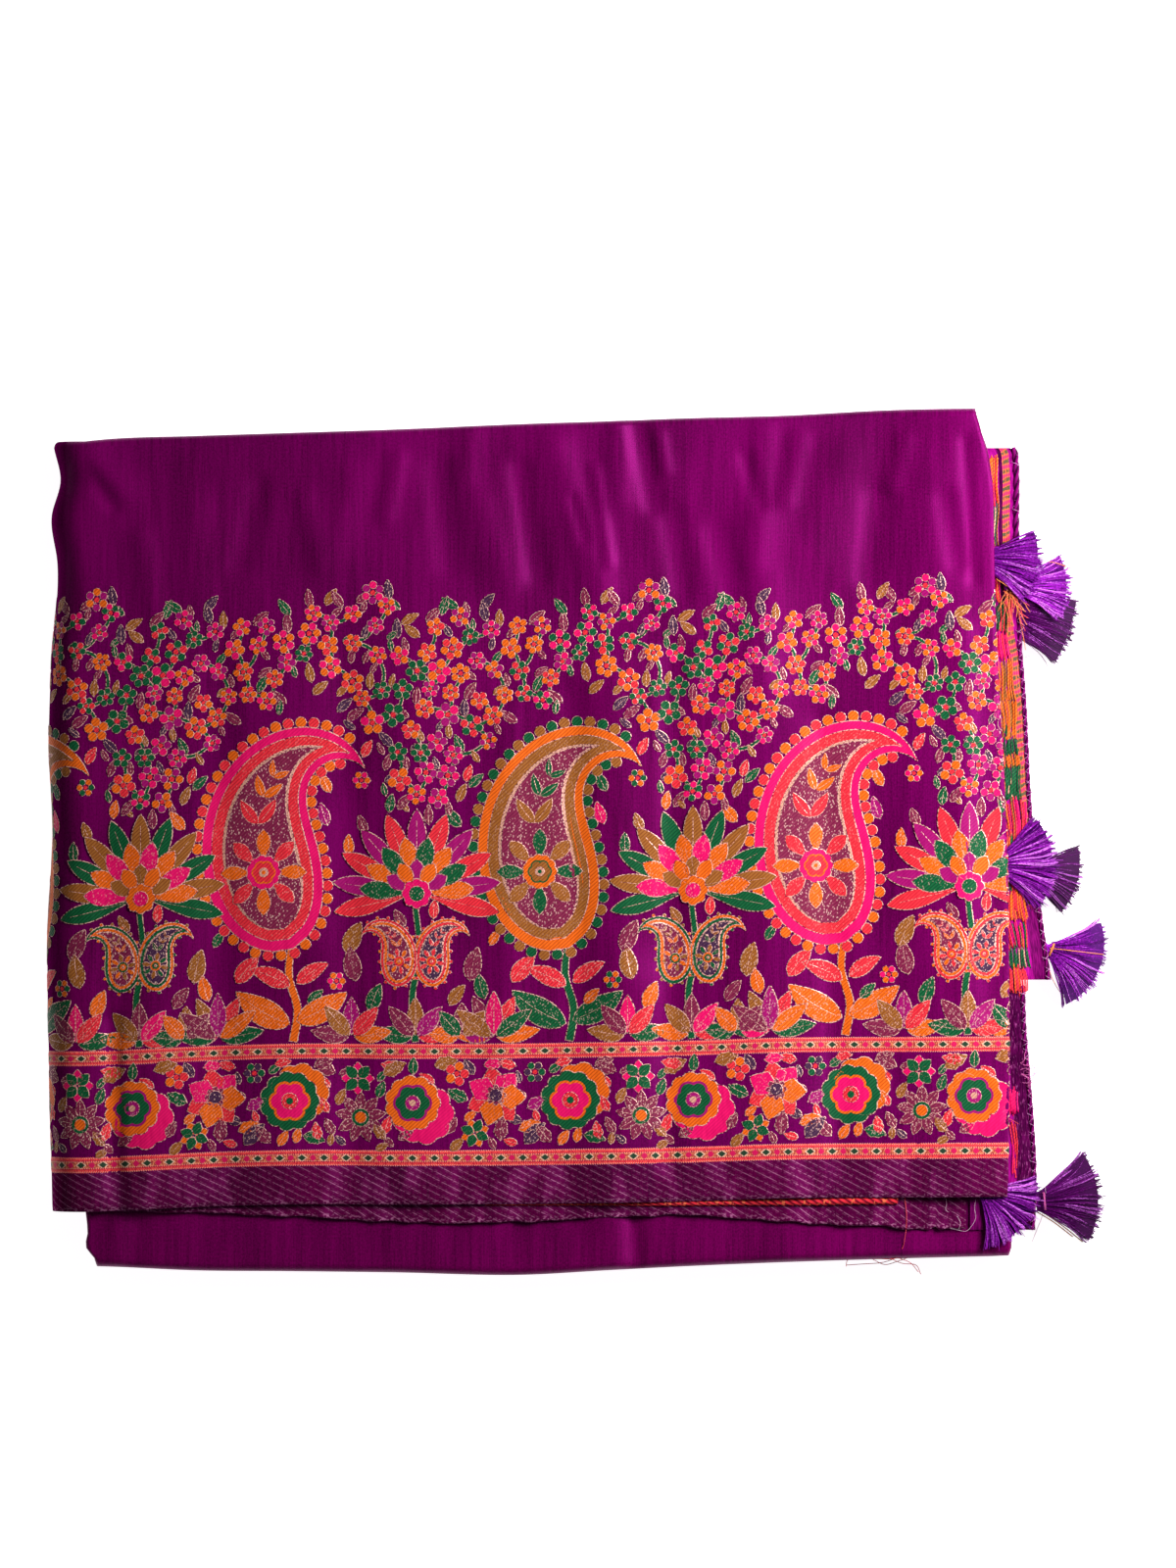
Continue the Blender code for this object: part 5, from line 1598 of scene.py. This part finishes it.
def tassel_threads(fan, reach, heights, root, seed):
    """Points of each thread at shares t: distance reach * t, heading side * fan * t^0.18, and its height.

    The threads cling together in strands. Each strand has its own heading, length, height and tone, and every
    second one is raised. The tone is painted light: raised strands are lighter as painted highlight, and every
    thread darkens towards the head as painted shade.
    """
    rng = np.random.default_rng(seed)
    t = np.linspace(0, 1, 10)
    strand = np.arange(THREADS) % STRANDS
    raised = (0.35 * (np.arange(STRANDS) % 2) + rng.uniform(0, 0.65, STRANDS))[strand]
    side = (np.linspace(-1, 1, STRANDS) + rng.normal(0, 0.016, STRANDS))[strand] + rng.normal(0, 0.013, THREADS)
    layer = (0.6 * rng.uniform(0, 1, THREADS) + 0.4 * raised)[:, None]
    long = reach * (1 - 0.06 * side**2)
    long = long * rng.uniform(0.92, 1.0, STRANDS)[strand] * rng.uniform(0.93, 1.0, THREADS)
    long = long * (1 + 0.09 * (rng.uniform(0, 1, THREADS) > 0.96))
    side, long = side[:, None], long[:, None]
    root_y = root * np.clip(side, -1, 1) * np.sqrt(np.maximum(0, 1 - (2 * layer - 1) ** 2 / 2))
    free = ease(t / 0.25)
    height = fall(t, heights) + (layer - 0.1) * (0.85 + 0.6 * t) * free + (layer - 0.5) * 1.1 * (1 - free)
    stray = (rng.uniform(0, 1, (THREADS, 1)) > 0.97) * rng.normal(0, 0.16, (THREADS, 1))
    wander = (rng.normal(0, 0.012, (THREADS, 1)) + stray) * t**2 + 0.024 * np.sin(7 * t + 6 * raised[:, None])
    heading = np.radians(fan) * side * t**0.18 * 1.02 + wander
    y = root_y * (1 - 0.3 * t) + long * t * np.sin(heading)
    # Painted light: lighter on the raised strands, and painted shade towards the head.
    tone = 0.02 + 0.84 * raised + 0.16 * rng.uniform(0, 1, THREADS)
    light_and_shade_tones = tone[:, None] * (0.35 + 0.65 * ease(t / 0.55))
    return np.stack([long * t * np.cos(heading), y, height], axis=-1), light_and_shade_tones


def thread_tubes(paths):
    """A three-sided tube round each path: paths are threads by places by 3."""
    ahead = np.gradient(paths, axis=1)
    ahead /= np.linalg.norm(ahead, axis=2, keepdims=True)
    sideways = np.cross(ahead, (0, 0, 1.0))
    sideways /= np.linalg.norm(sideways, axis=2, keepdims=True)
    up = np.cross(sideways, ahead)
    angle = np.radians([90, 210, 330])[:, None]
    thin = THREAD_RADIUS * np.interp(np.linspace(0, 1, paths.shape[1]), [0, 0.85, 1], [1, 1, 0.75])
    ring = sideways[:, :, None] * np.cos(angle) + up[:, :, None] * np.sin(angle)
    return paths[:, :, None] + thin[:, None, None] * ring


def tassel_head():
    """A knot: rings along X whose width and thickness swell and narrow, with fine windings round the neck."""
    along = np.linspace(-3.4, 0.5, 34)[:, None]
    width, thick = (np.interp(along, KNOT[:, 0], KNOT[:, k]) / 2 for k in (1, 2))
    wound_in = 1 + 0.06 * np.cos(2 * math.pi * along / 0.34)
    angle = np.linspace(0, 2 * math.pi, 15)[::-1]
    ring = np.broadcast_arrays(along, width * wound_in * np.cos(angle), thick * wound_in * np.sin(angle))
    return np.stack(ring, axis=-1) * (1.0, 1.3, 1.3)


def tassel_core(fan, reach, heights, root):
    """A fan-shaped sheet inside the threads, a little lower, so that no gap shows through; its dark tone is
    painted shade between the threads.
    """
    t = np.linspace(0, 0.88, 12)[:, None]
    side = np.linspace(-0.97, 0.97, 13)
    heading = np.radians(fan) * side * t**0.18
    y = root * side * (1 - 0.3 * t) + reach * t * np.sin(heading)
    return np.stack(np.broadcast_arrays(reach * t * np.cos(heading), y, fall(t, heights) - 0.25), axis=-1)


def thread_gloss(name, dark, middle, light):
    """Rayon thread: painted shade, the thread's own violet and painted highlight, chosen by the shade mark,
    broken up by fine noise that paints glints on the twist.
    """
    r = Recipe(name)
    twist = r.node("TexNoise", Vector=r.node("TexCoord", 3), Scale=1500.0, Detail=1.0)
    shade = r.plus(r.mark("shade"), r.math("SUBTRACT", twist, 0.5))
    colour = r.mix(r.above(shade, 0.40, 0.42), dark, middle)
    colour = r.mix(r.above(shade, 0.82, 0.26), colour, light)
    return r.finish(Base_Color=colour, Roughness=0.5, Specular_IOR_Level=0.12,
                    Specular_Tint=srgb(220, 120, 255))


# Each look has three colours of one violet thread: painted shade, the thread's own colour and painted
# highlight. The deep look is the same thread again, darker, as painted shade for tassels that lie low.
lit_tassel_silk = thread_gloss("tassel_lit", srgb(62, 2, 84), srgb(148, 28, 172), srgb(222, 124, 236))
shaded_tassel_silk = thread_gloss("tassel_shaded", srgb(42, 0, 46), srgb(86, 4, 92), srgb(176, 88, 190))
TASSEL_LOOKS = {"light": (lit_tassel_silk, "tassel_violet"), "deep": (shaded_tassel_silk, "tassel_dark")}


def tassel_piece(number, name, x, y, z, angle, fan, reach, near, middle, tip, root, tone):
    """Threads, head and core, turned and set in their place, and kept above the table."""
    heights = (near - z, middle - z, tip - z)
    paths, light_and_shade_tones = tassel_threads(fan, reach, heights, root, 40 + number)
    paths = turned(paths, angle, (x, y, z))
    paths[..., 2] = np.maximum(paths[..., 2], 0.25)
    core = turned(tassel_core(fan, reach, heights, root), angle, (x, y, z))
    core[..., 2] = np.maximum(core[..., 2], 0.2)
    head = turned(tassel_head(), angle, (x, y, z))
    points, faces = joined(thread_tubes(paths), around=True)
    more_points, more_faces = joined([head, core])
    faces = np.concatenate([faces, more_faces + len(points)])
    points = np.concatenate([points, more_points])
    # The head takes a middle tone; the core a dark one, painted shade between the threads.
    rest = np.repeat([0.5, 0.12], [head[..., 0].size, core[..., 0].size])
    shade = np.concatenate([np.repeat(light_and_shade_tones, 3), rest])
    material, slot = TASSEL_LOOKS[tone]
    return new_piece(name + "_threads", points, faces, points[:, :2], [material], marks={"shade": shade})


for number, (name, *form) in enumerate(TASSELS):
    piece = tassel_piece(number, name, *form)
    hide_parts(name)
    on_the_end["upper" if number < UPPER_TASSELS else "lower"].append(piece)

on_the_end["upper"].append(upper_floats)
on_the_end["lower"].append(lower_floats)

# %% [markdown]
# ### Ties and loose threads
#
# Some tassels are tied with orange or pink thread whose ends hang free, and cut threads
# stick out along the edge. Each is a tube along a few given points.

# %% Ties and loose threads
TIE_TURNS = 3


def smooth_lines(*knot_lists):
    """A smooth curve through each list of knots, by running length."""
    made = []
    for knots in knot_lists:
        run = running_length(np.array(knots))
        at = np.linspace(0, run[-1], max(6, round(run[-1] / 0.8)))
        made.append(np.stack([curve(at) for curve in curves(np.column_stack([run, knots]))], axis=1))
    return made


def tie(place, angle, at, radius):
    """Turns of thread round a tassel, at a distance in front of its head's place."""
    turn = np.linspace(0, 2 * math.pi * TIE_TURNS, 14 * TIE_TURNS)
    ring = [at + 0.22 * turn / (2 * math.pi), radius * np.cos(turn), 0.66 * radius * np.sin(turn)]
    return turned(np.stack(ring, axis=1), angle, place)


def fuzz(count, middle, spread, reach, rise, seed, low=-70, high=70):
    """Short curly ends: each starts near a middle point, heads between low and high degrees and wanders."""
    rng = np.random.default_rng(seed)
    t = np.linspace(0, 1, 12)
    made = []
    for _ in range(count):
        start = np.array(middle) + rng.normal(0, 1.0, 3) * (*spread, 0.08)
        way = np.radians(rng.uniform(low, high))
        wave = rng.uniform(0.2, 0.8) * np.sin(rng.uniform(3, 7) * t + rng.uniform(0, 6))
        far = rng.uniform(0.5, 1.0) * reach * t
        x, y = far * math.cos(way) - wave * math.sin(way), far * math.sin(way) + wave * math.cos(way)
        made.append(start + np.stack([x, y, rise * np.sin(math.pi * t) - 0.2 * t], axis=1))
    return made


def thread_piece(name, dark, light, radius, lines):
    material = yarn(name + "_yarn", dark, light, 1.6)
    return tubes_piece(name, [tube(line, radius, 5) for line in lines], material)


thread_piece("orange_threads", srgb(196, 84, 34), srgb(248, 156, 92), 0.13, [
    tie((162.2, -36.8, 17.3), -23, 0.7, 2.3), *smooth_lines(
        [(162.4, -36.6, 18.7), (169.0, -37.4, 16.6), (175.4, -38.2, 11.9), (181.6, -39.0, 3.4)],
        [(161.6, -38.4, 17.4), (162.4, -44.0, 15.2), (165.2, -50.2, 9.4), (169.6, -55.6, 3.0)],
        [(143.8, 90.4, 23.2), (147.4, 88.0, 23.5), (151.0, 85.0, 22.8), (153.4, 82.0, 21.7)],
        [(156.2, 95.8, 21.5), (160.6, 96.6, 20.4), (165.2, 95.8, 18.6), (169.6, 94.2, 16.4)],
        [(150.6, 82.5, 21.4), (152.5, 74.0, 21.3), (154.0, 66.0, 21.0)]),
    *fuzz(14, (148.6, 85.6, 22.0), (1.2, 2.2), 13.0, 0.5, 6, -112, -48)])
thread_piece("peach_threads", srgb(196, 128, 92), srgb(240, 190, 150), 0.24, smooth_lines(
    [(158.5, -126.8, 15.8), (163.0, -129.6, 11.6), (169.0, -134.0, 5.4), (174.4, -138.4, 0.7)],
    [(158.2, -127.6, 15.4), (163.4, -130.8, 10.0), (171.0, -136.6, 1.2)]))
thread_piece("coral_threads", srgb(196, 30, 56), srgb(240, 92, 96), 0.13, [
    *smooth_lines(
        [(112.4, -122.4, 21.2), (113.0, -128.8, 21.0), (112.6, -135.5, 20.0), (111.5, -140.3, 18.9),
         (109.5, -143.3, 17.2), (104.0, -143.7, 16.6), (97.0, -143.4, 16.9), (93.0, -144.0, 16.0),
         (92.4, -146.4, 13.0)],
        [(109.8, -143.3, 17.2), (105.0, -145.0, 14.4), (98.0, -145.6, 13.4), (92.6, -146.0, 12.6)],
        [(109.6, -143.1, 17.3), (114.0, -144.8, 15.0), (117.4, -148.4, 9.6)],
        [(107.6, -143.5, 17.0), (112.0, -145.4, 13.8), (116.0, -145.8, 12.0), (118.4, -149.4, 6.0)],
        [(101.6, -143.9, 16.4), (106.0, -145.8, 12.8), (110.0, -144.6, 15.2), (113.2, -143.4, 16.8)],
        [(141.0, -93.6, 23.2), (147.0, -94.6, 22.4), (151.5, -97.0, 21.6)]),
    *fuzz(16, (148.8, 85.8, 21.9), (1.3, 2.4), 13.0, 0.5, 3, -112, -46)])
thread_piece("pink_threads", srgb(180, 50, 130), srgb(236, 120, 190), 0.09, [
    tie((157.8, -124.0, 16.6), 4, 2.6, 3.1), *smooth_lines(
        [(160.6, -125.6, 16.6), (160.0, -129.0, 13.0), (158.6, -134.0, 4.0), (157.0, -138.6, 0.5)]),
    *fuzz(14, (153.5, -79.0, 21.1), (0.8, 3.0), 7.0, 0.6, 4),
    *fuzz(4, (155.0, -84.0, 20.7), (0.6, 1.5), 9.0, 0.4, 9)])
thread_piece("pale_threads", srgb(186, 120, 166), srgb(236, 204, 222), 0.08, [
    *smooth_lines(
        [(157.2, -95.0, 21.0), (159.6, -101.0, 20.0), (160.2, -110.0, 18.6), (161.0, -121.0, 17.9)],
        [(126.6, -122.8, 21.4), (126.8, -124.6, 21.3), (126.4, -126.6, 21.2), (127.4, -127.4, 21.2)],
        [(128.2, -133.0, 20.9), (131.0, -133.6, 20.8), (133.4, -134.0, 20.6), (135.4, -132.2, 20.5),
         (136.8, -129.4, 20.5), (136.4, -126.0, 20.9), (136.8, -123.0, 21.2)],
        [(130.4, -128.8, 21.2), (131.6, -131.2, 21.0), (131.0, -133.2, 20.9)]),
    *fuzz(5, (153.9, 60.0, 20.9), (0.4, 4.0), 2.6, 0.5, 12, -60, 60)])
# %% [markdown]
# ## Camera, light and floor
#
# The photograph looks straight down. A long lens from high up keeps the sides from leaning
# out. The light comes from the right, near and soft, so that it falls off to the left and
# the ridges gleam on their right sides.

# %% Camera, lights and floor
# Lens and sensor in mm, the frame's height in metres and the point it is centred on
LENS, SENSOR, FRAME_HEIGHT = 250, 36, 0.5408
CENTRE = (0.0034, 0.0199, 0.0120)
FLOOR_HALF, FLOOR_POINTS, FLOOR_Z = 1.6, 9, -0.0002

camera = bpy.data.objects.new("camera", bpy.data.cameras.new("camera"))
camera.data.lens = LENS
camera.data.sensor_width = SENSOR
camera.data.clip_start = 0.02
camera_height = CENTRE[2] + FRAME_HEIGHT * LENS / SENSOR
camera.location = (CENTRE[0] + SHIFT[0] * MM, CENTRE[1] + SHIFT[1] * MM, camera_height)
camera.rotation_euler = (0, 0, 0)
bpy.context.scene.collection.objects.link(camera)
bpy.context.scene.camera = camera


def soft_light(name, place, size, watts, colour=(1, 1, 1)):
    """A square area light that faces the origin."""
    lamp = bpy.data.lights.new(name, "AREA")
    lamp.size, lamp.energy, lamp.color = size, watts, colour
    obj = bpy.data.objects.new(name, lamp)
    obj.location = place
    x, y, z = place
    obj.rotation_euler = (math.atan2(math.hypot(x, y), z), 0, math.atan2(x, -y))
    bpy.context.scene.collection.objects.link(obj)


soft_light("window", (0.44, 0.18, 0.40), 0.28, 7.3, (1.0, 0.98, 0.97))
soft_light("ceiling", (-0.1, 0.2, 1.5), 1.2, 0.5)

x = np.linspace(-FLOOR_HALF, FLOOR_HALF, FLOOR_POINTS)
floor_points = np.stack([*np.meshgrid(x, x), np.full((len(x), len(x)), FLOOR_Z)], axis=-1).reshape(-1, 3)
floor_mesh = bpy.data.meshes.new("floor")
floor_mesh.from_pydata(floor_points.tolist(), [], grid_faces(len(x), len(x)).tolist())
floor = bpy.data.objects.new("floor", floor_mesh)
bpy.context.scene.collection.objects.link(floor)
paper = Recipe("pale_floor")
grain = paper.node("TexNoise", Vector=paper.node("TexCoord", 3), Scale=900.0, Detail=2.0)
tone = paper.mix(paper.above(grain, 0.5, 0.6), (0.83, 0.83, 0.83), (0.87, 0.87, 0.87))
floor_mesh.materials.append(
    paper.finish(Base_Color=tone, Roughness=0.75, Emission_Color=(1.0, 1.0, 1.0), Emission_Strength=0.95))

world = bpy.data.worlds.new("studio")
world.use_nodes = True
sky = world.node_tree.nodes["Background"]
sky.inputs[0].default_value = (0.95, 0.95, 1.0, 1)
sky.inputs[1].default_value = 0.06
bpy.context.scene.world = world
bpy.context.scene.view_settings.view_transform = "Standard"
print("camera stands", round(camera.location.z, 3), "m above the floor")
